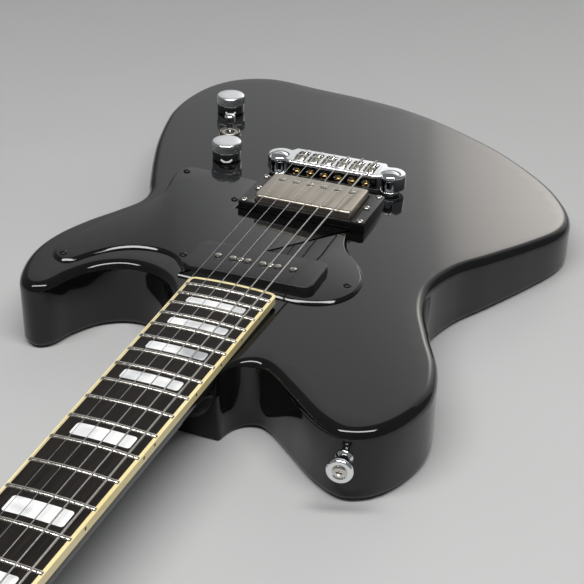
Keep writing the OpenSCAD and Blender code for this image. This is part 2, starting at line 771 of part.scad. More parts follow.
module pickup_mount_screws() {
    color("silver") {
        for (x = [-10, 10]) translate([x, neck_pickup_y, p90_top]) screw(2.2, 1.3, 1.4, 36);
        for (sx = [-1, 1]) translate([sx * 38.7, bridge_pickup_y, ring_top]) screw(2.4, 1.5, 1.4, 22);
    }
}

// ---- Bridge ----

bridge_low = body_t + 3;
bridge_top = body_t + 14;
lobe_r = 9.5;
insert_r = 5.5;
saddle_floor = bridge_top - 3;
saddle_w = 7.8;

module bridge() {
    color("silver") difference() {
        translate([0, 0, bridge_low]) linear_extrude(bridge_top - bridge_low) {
            translate([-34, -15]) square([68, 23]);
            polygon([[-stud_x, -11.5], [-34, -15], [34, -15], [stud_x, -11.5], [stud_x, 5], [-stud_x, 5]]);
            for (sx = [-1, 1]) translate([sx * stud_x, -2]) circle(lobe_r);
        }
        // open hooks that the studs hold, with seats for their heads
        for (sx = [-1, 1]) translate([sx * stud_x, stud_y, 0]) {
            cylinder(r = 4.1, h = 80);
            translate([-4.1, 0, 0]) cube([8.2, 20, 80]);
            translate([0, 0, bridge_top - 3.6]) cylinder(r = 6.9, h = 20);
        }
        for (i = [0 : 5]) translate([saddle_x(i), 0, 0]) {
            translate([-4, -10.5, saddle_floor]) cube([8, 16, 20]);
            translate([0, 20, bridge_bore_z]) rotate([90, 0, 0]) cylinder(r = 3, h = 18);
            translate([0, 20, bridge_bore_z]) rotate([90, 0, 0]) cylinder(r = 0.9, h = 60);
            translate([0, -20, saddle_floor + 1.6]) rotate([-90, 0, 0]) cylinder(r = 1.25, h = 12);
        }
    }
}

module bridge_studs() {
    color("silver") for (sx = [-1, 1]) translate([sx * stud_x, stud_y, 0]) rotate_extrude() polygon([
        [0, stud_floor + 2], [3.9, stud_floor + 2], [3.9, body_t + 0.6], [7, body_t + 0.6],
        [7, bridge_low - 0.4], [6.4, bridge_low], [4, bridge_low], [4, bridge_top - 3.6],
        [6.7, bridge_top - 3.6], [6.7, bridge_top - 2.4], [5.6, bridge_top - 0.6],
        [3.4, bridge_top + 0.5], [0, bridge_top + 0.9]
    ]);
}

module stud_inserts() {
    color("silver") for (sx = [-1, 1]) translate([sx * stud_x, stud_y, 0]) difference() {
        translate([0, 0, stud_floor]) cylinder(r = insert_r, h = body_t - stud_floor + 0.5);
        translate([0, 0, stud_floor + 1.5]) cylinder(r = 3.95, h = 40);
    }
}

module saddles() {
    color("silver") for (i = [0 : 5]) translate([saddle_x(i) - saddle_w / 2, 0, 0]) {
        rotate([90, 0, 90]) linear_extrude(saddle_w) polygon([
            [-5, saddle_floor], [5, saddle_floor], [5, saddle_floor + 2.6], [0.9, saddle_z - 0.15],
            [-0.9, saddle_z - 0.15], [-5, saddle_floor + 3.4]
        ]);
        translate([saddle_w / 2, -5, saddle_floor + 1.6]) rotate([90, 0, 0]) cylinder(r = 1.2, h = 10);
        translate([saddle_w / 2, -15, saddle_floor + 1.6]) rotate([90, 0, 0]) cylinder(r = 1.45, h = 0.4);
    }
}

// ---- Controls ----

pot_r = 12;
pot_h = 9;
shaft_r = 3;
knob_low = body_t + 0.8;
knurl_h = 6.6;

module knob(at) {
    translate([at[0], at[1], knob_low]) difference() {
        union() {
            cylinder(r = knob_r - 0.35, h = knob_h - knurl_h);
            translate([0, 0, knob_h - knurl_h]) cylinder(r = knob_r, h = knurl_h - 0.6, $fn = 64);
            translate([0, 0, knob_h - 0.6 - eps])
                rotate_extrude() polygon([[0, 0], [knob_r, 0], [knob_r - 0.6, 0.6 + eps], [0, 0.6 + eps]]);
        }
        translate([0, 0, -1]) cylinder(r = 8.6, h = 4.6);
        translate([0, 0, -1]) cylinder(r = shaft_r, h = knob_h - 2);
        translate([0, 0, 5.2]) rotate([0, 90, 0]) cylinder(r = 1.25, h = 20);
    }
}

module volume_knob() {
    color("silver") knob(volume_at);
}

module tone_knob() {
    color("silver") knob(tone_at);
}

module control_pots() {
    color("silver") for (p = [volume_at, tone_at]) translate([p[0], p[1], 0]) difference() {
        union() {
            translate([0, 0, cavity_top - pot_h]) cylinder(r = pot_r, h = pot_h);
            translate([0, 0, cavity_top]) cylinder(r = 4, h = 9.4);
            translate([0, 0, body_t]) cylinder(r = 7.2, h = 0.6);
            translate([0, 0, body_t + 0.6]) cylinder(r = 6.4, h = 2, $fn = 6);
            rotate([0, 0, -60]) translate([8, -7, cavity_top - pot_h + 2]) cube([8, 14, 1.2]);
        }
        translate([0, 0, cavity_top - pot_h + 2]) cylinder(r = shaft_r + 0.05, h = 60);
    }
}

module pot_shaft(at) {
    translate([at[0], at[1], cavity_top - pot_h + 2.4]) cylinder(r = shaft_r, h = knob_low + knob_h - 3 - cavity_top + pot_h - 2.4);
}

module volume_shaft() {
    color("silver") pot_shaft(volume_at);
}

module tone_shaft() {
    color("silver") pot_shaft(tone_at);
}

toggle_pivot = body_t - 1;
module toggle_housing() {
    color("silver") translate([toggle_at[0], toggle_at[1], 0]) difference() {
        union() {
            translate([-8, -10, cavity_top - 26]) cube([16, 20, 26]);
            translate([0, 0, cavity_top]) cylinder(r = 6, h = 9);
        }
        translate([-6.5, -8.5, cavity_top - 27]) cube([13, 17, 25.5]);
        translate([0, 0, cavity_top - 20]) cylinder(r = 3.6, h = 40);
    }
}

module toggle_washer() {
    color("silver") translate([toggle_at[0], toggle_at[1], body_t]) difference() {
        cylinder(r = 8.2, h = 0.7);
        translate([0, 0, -1]) cylinder(r = 6.05, h = 4);
    }
}

module toggle_nut() {
    color("silver") translate([toggle_at[0], toggle_at[1], body_t]) rotate_extrude() polygon([
        [6.05, 0.7], [7.7, 0.7], [7.7, 3.4], [7, 3.8], [6.05, 2.6]
    ]);
}

module toggle_lever() {
    color("silver") translate([toggle_at[0], toggle_at[1], 0]) {
        translate([0, 0, toggle_pivot]) sphere(3.2);
        translate([-3.4, 0, toggle_pivot]) rotate([0, 90, 0]) cylinder(r = 1, h = 6.8);
        translate([0, 0, toggle_pivot - 14]) cylinder(r = 0.9, h = 24);
        translate([0, 0, body_t + 5.5]) cylinder(r = 2.6, h = 5.5);
        translate([0, 0, body_t + 10.5]) cylinder(r = 3.9, h = 5);
        translate([0, 0, body_t + 15.5 - eps]) rotate_extrude()
            polygon([[0, 0], [3.9, 0], [3.2, 0.8], [1.8, 1.2], [0, 1.4]]);
    }
}

module tone_capacitor() {
    color("orange") translate([tone_at[0] - 5, tone_at[1] + 19, cavity_top - 5]) {
        linear_extrude(5) rounded_plate(13, 6, 2.9);
        for (sx = [-1, 1]) translate([sx * 4.5, 0, -8]) cylinder(r = 0.4, h = 9);
    }
}

module control_cover() {
    color("black") difference() {
        linear_extrude(cover_t) cavity_shape(5.8);
        for (p = cover_screw_xy) translate([p[0], p[1], -1]) {
            cylinder(r = 1.3, h = 12);
            cylinder(r = 2.6, h = 2.2);
        }
    }
}

module jack_cup() {
    color("silver") translate([jack_face, jack_y, jack_z]) rotate([0, 90, 0]) difference() {
        rotate_extrude() polygon([[0, -12], [10.5, -12], [10.5, 0], [13, 0], [13, 0.8], [11.6, 1.5], [0, 1.5]]);
        translate([0, 0, -10.5]) cylinder(r = 9, h = 20);
        translate([0, 0, -20]) cylinder(r = 4.75, h = 40);
    }
}

module output_jack() {
    color("silver") translate([jack_face, jack_y, jack_z]) rotate([0, 90, 0]) difference() {
        union() {
            translate([0, 0, -17]) cylinder(r = 4.7, h = 9.5);
            translate([0, 0, -10.5]) cylinder(r = 6.6, h = 2, $fn = 6);
            translate([0, 0, -16]) cylinder(r = 7, h = 4);
            translate([-5, -8, -17]) cube([10, 16, 1.2]);
        }
        translate([0, 0, -30]) cylinder(r = 3.2, h = 40);
    }
}

body();
pickguard();
neck();
fretboard();
binding();
frets();
inlays();
side_dots();
nut();
truss_rod();
truss_rod_cover();
strap_buttons();
strap_screws();
black_screws();
chrome_screws();
plain_strings();
wound_strings();
ball_ends();
tuner_housings();
tuner_bushings();
tuner_post(0);  // tuner_post_1
tuner_post(1);  // tuner_post_2
tuner_post(2);  // tuner_post_3
tuner_post(3);  // tuner_post_4
tuner_post(4);  // tuner_post_5
tuner_post(5);  // tuner_post_6
tuner_button(0);  // tuner_button_1
tuner_button(1);  // tuner_button_2
tuner_button(2);  // tuner_button_3
tuner_button(3);  // tuner_button_4
tuner_button(4);  // tuner_button_5
tuner_button(5);  // tuner_button_6
string_trees();
p90_cover();
p90_baseplate();
p90_coil();
humbucker_cover();
humbucker_ring();
humbucker_baseplate();
humbucker_coils();
bar_magnets();
pole_screws();
pickup_mount_screws();
bridge();
bridge_studs();
stud_inserts();
saddles();
volume_knob();
tone_knob();
control_pots();
volume_shaft();
tone_shaft();
toggle_housing();
toggle_washer();
toggle_nut();
toggle_lever();
tone_capacitor();
control_cover();
output_jack();
jack_cup();
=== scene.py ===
import math
import bmesh
import bpy
import numpy as np
from mathutils import Matrix, Vector
from mathutils.geometry import delaunay_2d_cdt


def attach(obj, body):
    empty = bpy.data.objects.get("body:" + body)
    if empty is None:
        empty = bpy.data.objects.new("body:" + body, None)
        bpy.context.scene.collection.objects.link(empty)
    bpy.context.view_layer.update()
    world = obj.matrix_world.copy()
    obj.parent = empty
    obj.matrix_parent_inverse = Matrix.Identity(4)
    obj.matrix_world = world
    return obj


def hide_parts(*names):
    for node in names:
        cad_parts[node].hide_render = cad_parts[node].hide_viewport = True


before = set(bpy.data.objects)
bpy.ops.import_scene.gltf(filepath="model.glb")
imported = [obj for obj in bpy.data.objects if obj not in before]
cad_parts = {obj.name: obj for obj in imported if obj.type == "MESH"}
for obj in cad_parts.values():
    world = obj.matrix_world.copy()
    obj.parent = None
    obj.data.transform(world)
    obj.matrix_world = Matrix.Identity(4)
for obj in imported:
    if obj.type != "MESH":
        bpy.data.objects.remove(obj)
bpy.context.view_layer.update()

# ---- Body -------------------------------------------------------------------------------
# A slab of wood 45 mm thick, its edges rounded with a router and its bass lower bout planed
# off for the forearm, then sprayed black and polished. The controls sit in a pocket cut from
# the back, and the neck is glued to the block that sticks out between the horns.
BODY_T = 45.0
BODY_END = 254.0
FACE_EDGE = 6.0
BACK_EDGE = 5.0
HEEL_EDGE, HEEL_CORNER = 1.2, 1.4
BODY_POINTS = np.array([
    (-27, 254), (-28.4, 247), (-31.5, 240.5), (-37, 236), (-44, 235), (-53, 240), (-68, 252.5),
    (-90, 270.5), (-108, 277.5), (-124, 269.5), (-135, 251), (-140, 225), (-134, 195),
    (-121, 167), (-109, 138), (-105.5, 112), (-113, 82), (-128, 54), (-146, 19), (-159, -12),
    (-160.5, -36), (-152, -60), (-131, -88), (-93, -118), (-55, -136), (-15, -149), (24, -157),
    (74, -163), (109, -168), (130, -163), (147, -150), (158, -130), (163, -104), (162.5, -76),
    (157, -50), (147, -17), (135, 14), (122, 44), (114, 62), (113, 78), (121, 97), (131, 117),
    (139, 140), (141.5, 162), (138, 184), (129, 204), (118, 210), (109, 204), (103.5, 188),
    (94, 172), (80, 162.5), (64, 161.5), (48, 169), (37, 184), (31, 204), (28.6, 226), (27, 254),
], float)


def through(points, count):
    """Centripetal Catmull-Rom curve through the points: each span is a cubic whose end slopes
    come from its neighbours. It is resampled to count points at even distances."""
    p = np.vstack([2 * points[0] - points[1], points, 2 * points[-1] - points[-2]])
    t = np.concatenate([[0], np.cumsum(np.linalg.norm(np.diff(p, axis=0), axis=1) ** 0.5)])
    slope = (p[2:] - p[:-2]) / (t[2:] - t[:-2])[:, None]
    u = np.linspace(0, 1, 24, endpoint=False)[:, None, None]
    a, b, h = p[1:-2], p[2:-1], np.diff(t[1:-1])[:, None]
    curve = ((2 * u**3 - 3 * u**2 + 1) * a + (u**3 - 2 * u**2 + u) * h * slope[:-1]
             + (3 * u**2 - 2 * u**3) * b + (u**3 - u**2) * h * slope[1:])
    curve = np.vstack([curve.transpose(1, 0, 2).reshape(-1, p.shape[1]), points[-1:]])
    run = np.concatenate([[0], np.cumsum(np.linalg.norm(np.diff(curve, axis=0), axis=1))])
    at = np.linspace(0, run[-1], count)
    return np.stack([np.interp(at, run, curve[:, k]) for k in range(p.shape[1])], 1)


def bend(a, corner, b, count):
    """Quadratic arc from a to b that turns towards the corner: (1-t)^2 a + 2t(1-t) c + t^2 b."""
    t = np.linspace(0, 1, count)[:, None]
    a, corner, b = (np.asarray(v, float) for v in (a, corner, b))
    return (1 - t) ** 2 * a + 2 * t * (1 - t) * corner + t**2 * b


def soften(points, cut, count=5, closed=False):
    """The polyline with each corner cut back by the given length and replaced by an arc."""
    p = np.asarray(points, float)
    cut = np.broadcast_to(np.asarray(cut, float), len(p))
    out = []
    for i in range(len(p)):
        if not closed and i in (0, len(p) - 1):
            out.append(p[i:i + 1])
            continue
        before, after = p[i - 1] - p[i], p[(i + 1) % len(p)] - p[i]
        lb, la = np.linalg.norm(before), np.linalg.norm(after)
        d = min(cut[i], 0.49 * lb, 0.49 * la)
        if d <= 0:
            out.append(p[i:i + 1])
            continue
        out.append(bend(p[i] + before / lb * d, p[i], p[i] + after / la * d, count))
    return np.vstack(out)


def whole_turn(count):
    """Evenly spaced angles once round, the last one short of the first."""
    return np.linspace(0, 2 * math.pi, count, endpoint=False)


def eased(t):
    """The smooth step 3 t^2 - 2 t^3, flat at both ends."""
    return t * t * (3 - 2 * t)


def level(ring, z):
    """A plane outline laid at one height."""
    return np.column_stack([ring, np.full(len(ring), z)])


def outward(ring):
    """Unit normals of a closed plane ring that runs counter-clockwise: the tangent turned right."""
    d = np.roll(ring, -1, 0) - np.roll(ring, 1, 0)
    d /= np.maximum(np.linalg.norm(d, axis=1), 1e-9)[:, None]
    return np.stack([d[:, 1], -d[:, 0]], 1)


def skin(grid, wrap_rows=False):
    """Faces of a closed grid of rings: quads between neighbours, and a flat cap on each end.
    The faces are turned over where the sum of their outward flux is negative."""
    rows, cols = grid.shape[:2]
    i = np.arange(rows if wrap_rows else rows - 1)[:, None]
    j = np.arange(cols)[None, :]
    k = (i + 1) % rows
    quads = np.stack([i * cols + j, i * cols + (j + 1) % cols, k * cols + (j + 1) % cols,
                      k * cols + j], -1).reshape(-1, 4)
    faces = quads.tolist()
    if not wrap_rows:
        faces.append(list(range(cols - 1, -1, -1)))
        faces.append(list(range((rows - 1) * cols, rows * cols)))
    points = grid.reshape(-1, 3)
    p = points[quads]
    flux = np.einsum("ij,ij->i", p.mean(1) - points.mean(0),
                     np.cross(p[:, 2] - p[:, 0], p[:, 3] - p[:, 1])).sum()
    if flux < 0:
        faces = [f[::-1] for f in faces]
    return points, faces


def together(*shells):
    """Several closed shells as one list of points and faces."""
    points, faces, base = [], [], 0
    for p, f in shells:
        points.append(p)
        faces += [[v + base for v in face] for face in f]
        base += len(p)
    return np.vstack(points), faces


def stack(ring, levels):
    """Rings of one outline at each (inset, height): the outline moved in along its normals."""
    n = outward(ring)
    return np.stack([level(ring - n * d, z) for d, z in levels])


def slab(ring, low, high, edge=0.3, low_edge=None, steps=4):
    """Upright closed prism over the outline, its two rims rounded to quarter circles."""
    under = edge if low_edge is None else low_edge
    a = np.linspace(0, math.pi / 2, steps)
    levels = [(under * (1 - math.sin(t)), low + under * (1 - math.cos(t))) for t in a]
    levels += [(edge * (1 - math.cos(t)), high - edge * (1 - math.sin(t))) for t in a]
    return skin(stack(ring, levels))


def oblong(w, d, r, x=0.0, y=0.0, count=8):
    """Counter-clockwise rectangle w by d with corners of radius r round the point x, y."""
    a = np.linspace(0, math.pi / 2, count)
    out = []
    for q, (sx, sy) in enumerate([(1, 1), (-1, 1), (-1, -1), (1, -1)]):
        t = a + q * math.pi / 2
        out.append(np.column_stack([x + sx * (w / 2 - r) + r * np.cos(t),
                                    y + sy * (d / 2 - r) + r * np.sin(t)]))
    return np.vstack(out)


def turned(profile, count=48, at=(0, 0, 0), axis=(0, 0, 1), ring=False):
    """Lathe form: the (radius, height) profile carried round the axis through the point at."""
    p = np.asarray(profile, float)
    a = whole_turn(count)
    grid = np.stack([p[:, :1] * np.cos(a), p[:, :1] * np.sin(a),
                     np.repeat(p[:, 1:2], count, 1)], -1)
    return skin(placed(grid, at, axis), wrap_rows=ring)


def placed(points, at, axis):
    """Points turned so that +Z lies along the axis, then moved to the point at."""
    turn = np.array(Vector((0, 0, 1)).rotation_difference(Vector(axis).normalized()).to_matrix())
    return points @ turn.T + np.asarray(at, float)


def make(name, shell, material, body="guitar", stands_for=(), crease=32):
    """Turns points in millimetres and faces into a finished object in metres, in its place."""
    points, faces = shell
    mesh = bpy.data.meshes.new(name)
    mesh.from_pydata((np.asarray(points) * 0.001).tolist(), [], faces)
    mesh.materials.append(material)
    obj = bpy.data.objects.new(name, mesh)
    bpy.context.collection.objects.link(obj)
    shade(obj, crease)
    if body:
        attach(obj, body)
    if stands_for:
        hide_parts(*stands_for)
    return obj


def shade(obj, crease=32):
    """Smooth shading that breaks at edges sharper than the crease angle in degrees."""
    mesh = obj.data
    mesh.polygons.foreach_set("use_smooth", np.ones(len(mesh.polygons), bool))
    mesh.set_sharp_from_angle(angle=math.radians(crease))
    mesh.update()


def carve(obj, shell, crease=32):
    """Cuts closed shells out of an object and keeps the result as its mesh."""
    mesh = bpy.data.meshes.new("cutter")
    mesh.from_pydata((np.asarray(shell[0]) * 0.001).tolist(), [], shell[1])
    cutter = bpy.data.objects.new("cutter", mesh)
    bpy.context.collection.objects.link(cutter)
    cut = obj.modifiers.new("cut", "BOOLEAN")
    cut.object, cut.operation, cut.solver = cutter, "DIFFERENCE", "EXACT"
    result = bpy.data.meshes.new_from_object(
        obj.evaluated_get(bpy.context.evaluated_depsgraph_get()))
    obj.modifiers.clear()
    old, obj.data = obj.data, result
    result.name = obj.name
    bpy.data.meshes.remove(old)
    bpy.data.objects.remove(cutter)
    bpy.data.meshes.remove(mesh)
    shade(obj, crease)


def node_of(tree, kind, **sockets):
    """A node with its named inputs set."""
    made = tree.nodes.new(kind)
    for key, value in sockets.items():
        made.inputs[key.replace("_", " ")].default_value = value
    return made


def surface(name, colour, second=None, metal=0.0, rough=(0.2, 0.3), scale=(60, 60, 60), bump=0.0,
            depth=0.0002, coat=0.0, detail=4.0, contrast=(0.35, 0.65), ior=1.5):
    """Principled material whose colour, roughness and fine relief follow one stretched noise."""
    m = bpy.data.materials.new(name)
    m.use_nodes = True
    tree = m.node_tree
    shader = tree.nodes["Principled BSDF"]
    shader.inputs["Base Color"].default_value = (*colour, 1)
    shader.inputs["Metallic"].default_value = metal
    shader.inputs["IOR"].default_value = ior
    shader.inputs["Coat Weight"].default_value = coat
    shader.inputs["Coat Roughness"].default_value = 0.03
    place = tree.nodes.new("ShaderNodeTexCoord")
    mapping = node_of(tree, "ShaderNodeMapping", Scale=scale)
    noise = node_of(tree, "ShaderNodeTexNoise", Scale=1.0, Detail=detail, Roughness=0.6)
    tree.links.new(place.outputs["Object"], mapping.inputs["Vector"])
    tree.links.new(mapping.outputs["Vector"], noise.inputs["Vector"])
    spread = node_of(tree, "ShaderNodeMapRange", From_Min=contrast[0], From_Max=contrast[1],
                     To_Min=rough[0], To_Max=rough[1])
    tree.links.new(noise.outputs["Fac"], spread.inputs["Value"])
    tree.links.new(spread.outputs["Result"], shader.inputs["Roughness"])
    if second is not None:
        ramp = tree.nodes.new("ShaderNodeValToRGB")
        ramp.color_ramp.elements[0].position, ramp.color_ramp.elements[1].position = contrast
        ramp.color_ramp.elements[0].color = (*colour, 1)
        ramp.color_ramp.elements[1].color = (*second, 1)
        tree.links.new(noise.outputs["Fac"], ramp.inputs["Fac"])
        tree.links.new(ramp.outputs["Color"], shader.inputs["Base Color"])
    if bump:
        relief = node_of(tree, "ShaderNodeBump", Strength=bump, Distance=depth)
        tree.links.new(noise.outputs["Fac"], relief.inputs["Height"])
        tree.links.new(relief.outputs["Normal"], shader.inputs["Normal"])
    return m


RIDGE_FOOT, RIDGE_RUN = np.array([-14.0, -150.0]), np.array([-87.0, 242.0])
RIDGE_EASE, RIDGE_FADE, FOREARM_SLOPE = 22.0, 70.0, 0.149


def face_height(x, y):
    """Height of the body's face: flat, less a plane that dips past the bevel line, eased in
    with d -> (sqrt(d^2 + e^2) + d) / 2 so that the line reads as a soft ridge."""
    along = RIDGE_RUN / math.hypot(*RIDGE_RUN)
    d = (x - RIDGE_FOOT[0]) * -along[1] + (y - RIDGE_FOOT[1]) * along[0]
    reach = (np.sqrt(d * d + RIDGE_EASE * RIDGE_EASE) + d) / 2
    fade = np.clip((d + RIDGE_FADE) / RIDGE_FADE, 0, 1)
    return BODY_T - FOREARM_SLOPE * np.where(d < -RIDGE_FADE, 0, reach) * fade


def body_ring():
    """Outline of the body: a curve through its points, with the heel's two corners rounded,
    and for each point how far the edge rounding has faded towards the heel."""
    side = through(BODY_POINTS, 960)
    right, left = side[-1], side[0]
    side = side[2:-2]
    ends = right[0] - HEEL_CORNER, left[0] + HEEL_CORNER
    nose = np.linspace(*ends, 20)
    front = np.vstack([bend(side[-1], right, (ends[0], BODY_END), 5)[1:-1],
                       level(nose, BODY_END),
                       bend((ends[1], BODY_END), left, side[0], 5)[1:-1]])
    ring = np.vstack([side, front])
    spacing, fade_run = 1.72, 30
    away = np.minimum(np.arange(len(side)), np.arange(len(side))[::-1]) * spacing
    fade = np.clip(np.concatenate([away, np.zeros(len(front))]) / fade_run, 0, 1)
    return ring, eased(fade)


def body_shell():
    """Rings from the back's rim round to the face's rim, the back as one flat face, and the
    face as a net of triangles laid on face_height. A net point is inside the rim where a ray
    along X crosses the rim an odd number of times."""
    ring, fade = body_ring()
    n = outward(ring)
    low = HEEL_EDGE + (BACK_EDGE - HEEL_EDGE) * fade
    high = HEEL_EDGE + (FACE_EDGE - HEEL_EDGE) * fade
    rows = []
    for t in np.linspace(0, math.pi / 2, 9):
        xy = ring - n * (low * (1 - math.sin(t)))[:, None]
        rows.append(np.column_stack([xy, low * (1 - math.cos(t))]))
    for t in np.linspace(0, math.pi / 2, 11):
        xy = ring - n * (high * (1 - math.cos(t)))[:, None]
        top = face_height(xy[:, 0], xy[:, 1])
        rows.append(np.column_stack([xy, top - high * (1 - math.sin(t))]))
    points, faces = skin(np.stack(rows))
    faces.pop()
    rim = rows[-1][:, :2]
    pitch = 8.0
    gx, gy = np.meshgrid(np.arange(-158, 160, pitch), np.arange(-164, 276, pitch))
    dots = np.column_stack([gx.ravel(), gy.ravel()])
    a, b = rim, np.roll(rim, -1, 0)
    rise = (a[:, 1] > dots[:, 1:]) != (b[:, 1] > dots[:, 1:])
    step = np.where(b[:, 1] == a[:, 1], 1, b[:, 1] - a[:, 1])
    hit = dots[:, :1] < a[:, 0] + (dots[:, 1:] - a[:, 1]) / step * (b[:, 0] - a[:, 0])
    inside = (rise & hit).sum(1) % 2 == 1
    near = np.linalg.norm(dots[:, None] - rim[None], axis=2).min(1)
    dots = dots[inside & (near > pitch / 2)]
    flat = np.vstack([rim, dots])
    loop = list(range(len(rim)))
    xy, _, tris, *_ = delaunay_2d_cdt([Vector(p) for p in flat], [], [loop], 1, 1e-7)
    xy = np.array([tuple(p) for p in xy])
    cap = np.column_stack([xy, face_height(xy[:, 0], xy[:, 1])])
    fan = [list(t) for t in tris]
    q = cap[[t[:3] for t in fan]]
    if np.cross(q[:, 1] - q[:, 0], q[:, 2] - q[:, 0])[:, 2].sum() < 0:
        fan = [t[::-1] for t in fan]
    return together((points, faces), (cap, fan))


def weld(obj):
    """Merges the points of an object's mesh that lie in one place."""
    net = bmesh.new()
    net.from_mesh(obj.data)
    bmesh.ops.remove_doubles(net, verts=net.verts, dist=1e-6)
    net.to_mesh(obj.data)
    net.free()


lacquer = surface("black_lacquer", (0.0025, 0.0025, 0.0027), (0.004, 0.004, 0.0042),
                  rough=(0.045, 0.085), scale=(9, 240, 240), bump=0.03, depth=0.00002, detail=6.0)
body = make("body_shell", body_shell(), lacquer, stands_for=("body",),
            crease=40)
weld(body)

VOLUME_AT = np.array([85.0, -6.0])
TONE_AT = np.array([118.0, -87.0])
TOGGLE_AT = np.array([100.0, -45.0])
KNOB_LINE = (TONE_AT - VOLUME_AT) / np.linalg.norm(TONE_AT - VOLUME_AT)
CAVITY = (VOLUME_AT - 8 * KNOB_LINE, TONE_AT + 13 * KNOB_LINE)
JACK_AT = np.array([161.5, -92.0, 21.0])
CAVITY_R, CAVITY_TOP, COVER_LIP, COVER_T = 18.0, 39.0, 6.0, 2.5


def stadium(grow):
    """Outline of the control cavity: two half circles joined by straight sides."""
    r = CAVITY_R + grow
    lead = math.atan2(KNOB_LINE[1], KNOB_LINE[0])
    a = np.linspace(-math.pi / 2, math.pi / 2, 24) + lead
    far = CAVITY[1] + r * np.column_stack([np.cos(a), np.sin(a)])
    near = CAVITY[0] - r * np.column_stack([np.cos(a), np.sin(a)])
    return np.vstack([far, near])


def stepped(rings_and_heights):
    """Closed pocket shape from outlines of equal length at rising heights."""
    return skin(np.stack([level(r, z) for r, z in rings_and_heights]))


jack_hole = turned([(13.25, 8), (13.25, 0), (10.6, 0), (10.6, -24)][::-1], 64, JACK_AT, (1, 0, 0))
pocket = stepped([(stadium(COVER_LIP), -1), (stadium(COVER_LIP), COVER_T), (stadium(0), COVER_T),
                  (stadium(0), CAVITY_TOP)])
carve(body, together(pocket, jack_hole), 40)
carve(body, together(*[turned([(r, 30), (r, 60)], 48, (*at, 0)) for at, r in
                       ((VOLUME_AT, 4.1), (TONE_AT, 4.1), (TOGGLE_AT, 6.1))]), 40)

# ---- Back of the controls ----------------------------------------------------------------
# A flush plate of black plastic closes the control pocket. Under it hang the two pots, the
# pickup switch and a dipped capacitor.
black_plastic = surface("gloss_black_plastic", (0.003, 0.003, 0.0033), (0.006, 0.006, 0.0065),
                        rough=(0.05, 0.1), scale=(500, 500, 500), bump=0.02, depth=0.00002)
cover = make("control_cover_plate", slab(stadium(COVER_LIP - 0.2), 0, COVER_T, 0.3, 0.5), black_plastic,
             stands_for=("control_cover",))
across = np.array([-KNOB_LINE[1], KNOB_LINE[0]])
COVER_SCREWS = [CAVITY[e] + (e * 2 - 1) * 13 * KNOB_LINE + s * 16.5 * across
                for e in (0, 1) for s in (-1, 1)]
carve(cover, together(*[turned([(2.65, -1), (2.65, 1.9), (1.3, 1.9), (1.3, 4)], 32, (*p, 0))
                        for p in COVER_SCREWS]))
plated = surface("plated_steel", (0.42, 0.41, 0.39), (0.55, 0.54, 0.5), metal=1.0,
                 rough=(0.25, 0.45), scale=(300, 300, 300), bump=0.08, depth=0.00005)
dipped = surface("dipped_film", (0.55, 0.13, 0.02), (0.62, 0.17, 0.03), rough=(0.2, 0.4),
                 scale=(200, 200, 200), bump=0.2, depth=0.0002, coat=0.4)


def refinish(name, material):
    """Gives a carried-over CAD node its finish."""
    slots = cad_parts[name].data.materials
    slots.clear()
    slots.append(material)


for name in ("control_pots", "toggle_housing", "humbucker_baseplate", "p90_baseplate",
             "truss_rod"):
    refinish(name, plated)
refinish("tone_capacitor", dipped)

# ---- Neck --------------------------------------------------------------------------------
# One piece of wood with a rounded back, sprayed black with the body. Its heel sweeps down to
# the end of the body's block, and its head is a plain paddle with the tuners in one line.
TILT = math.radians(1.16)
FRET_PLANE = BODY_T + 13
SCALE = 648.0
NUT_WIDTH, TAPER = 43, 0.0278
BOARD_TOP, BOARD_LOW, HEAD_FACE, HEAD_LOW = -1.1, -7.1, -13.1, -27.1


def on_neck(p):
    """Points (across, along, up from the fret plane) turned into the guitar's frame."""
    p = np.asarray(p, float)
    c, s = math.cos(TILT), math.sin(TILT)
    return np.stack([p[..., 0], p[..., 1] * c + p[..., 2] * s,
                     FRET_PLANE - p[..., 1] * s + p[..., 2] * c], -1)


def half_width(s):
    """Half the neck's width: a straight taper from the nut."""
    return (NUT_WIDTH + TAPER * (SCALE - s)) / 2


HEAD_LEFT = np.array([(648, -21.5), (656, -21.9), (665, -26), (675, -32.3), (686, -34),
                      (703, -30.2), (743, -19.5), (786, -7.8), (816, 1), (829.5, 7), (833, 11.5),
                      (834.4, 17)])
HEAD_RIGHT = np.array([(648, 21.5), (664, 22.3), (688, 25), (730, 28.5), (775, 31), (806, 31.6),
                       (818, 30.2), (826, 27), (831.5, 23), (834.4, 17)])


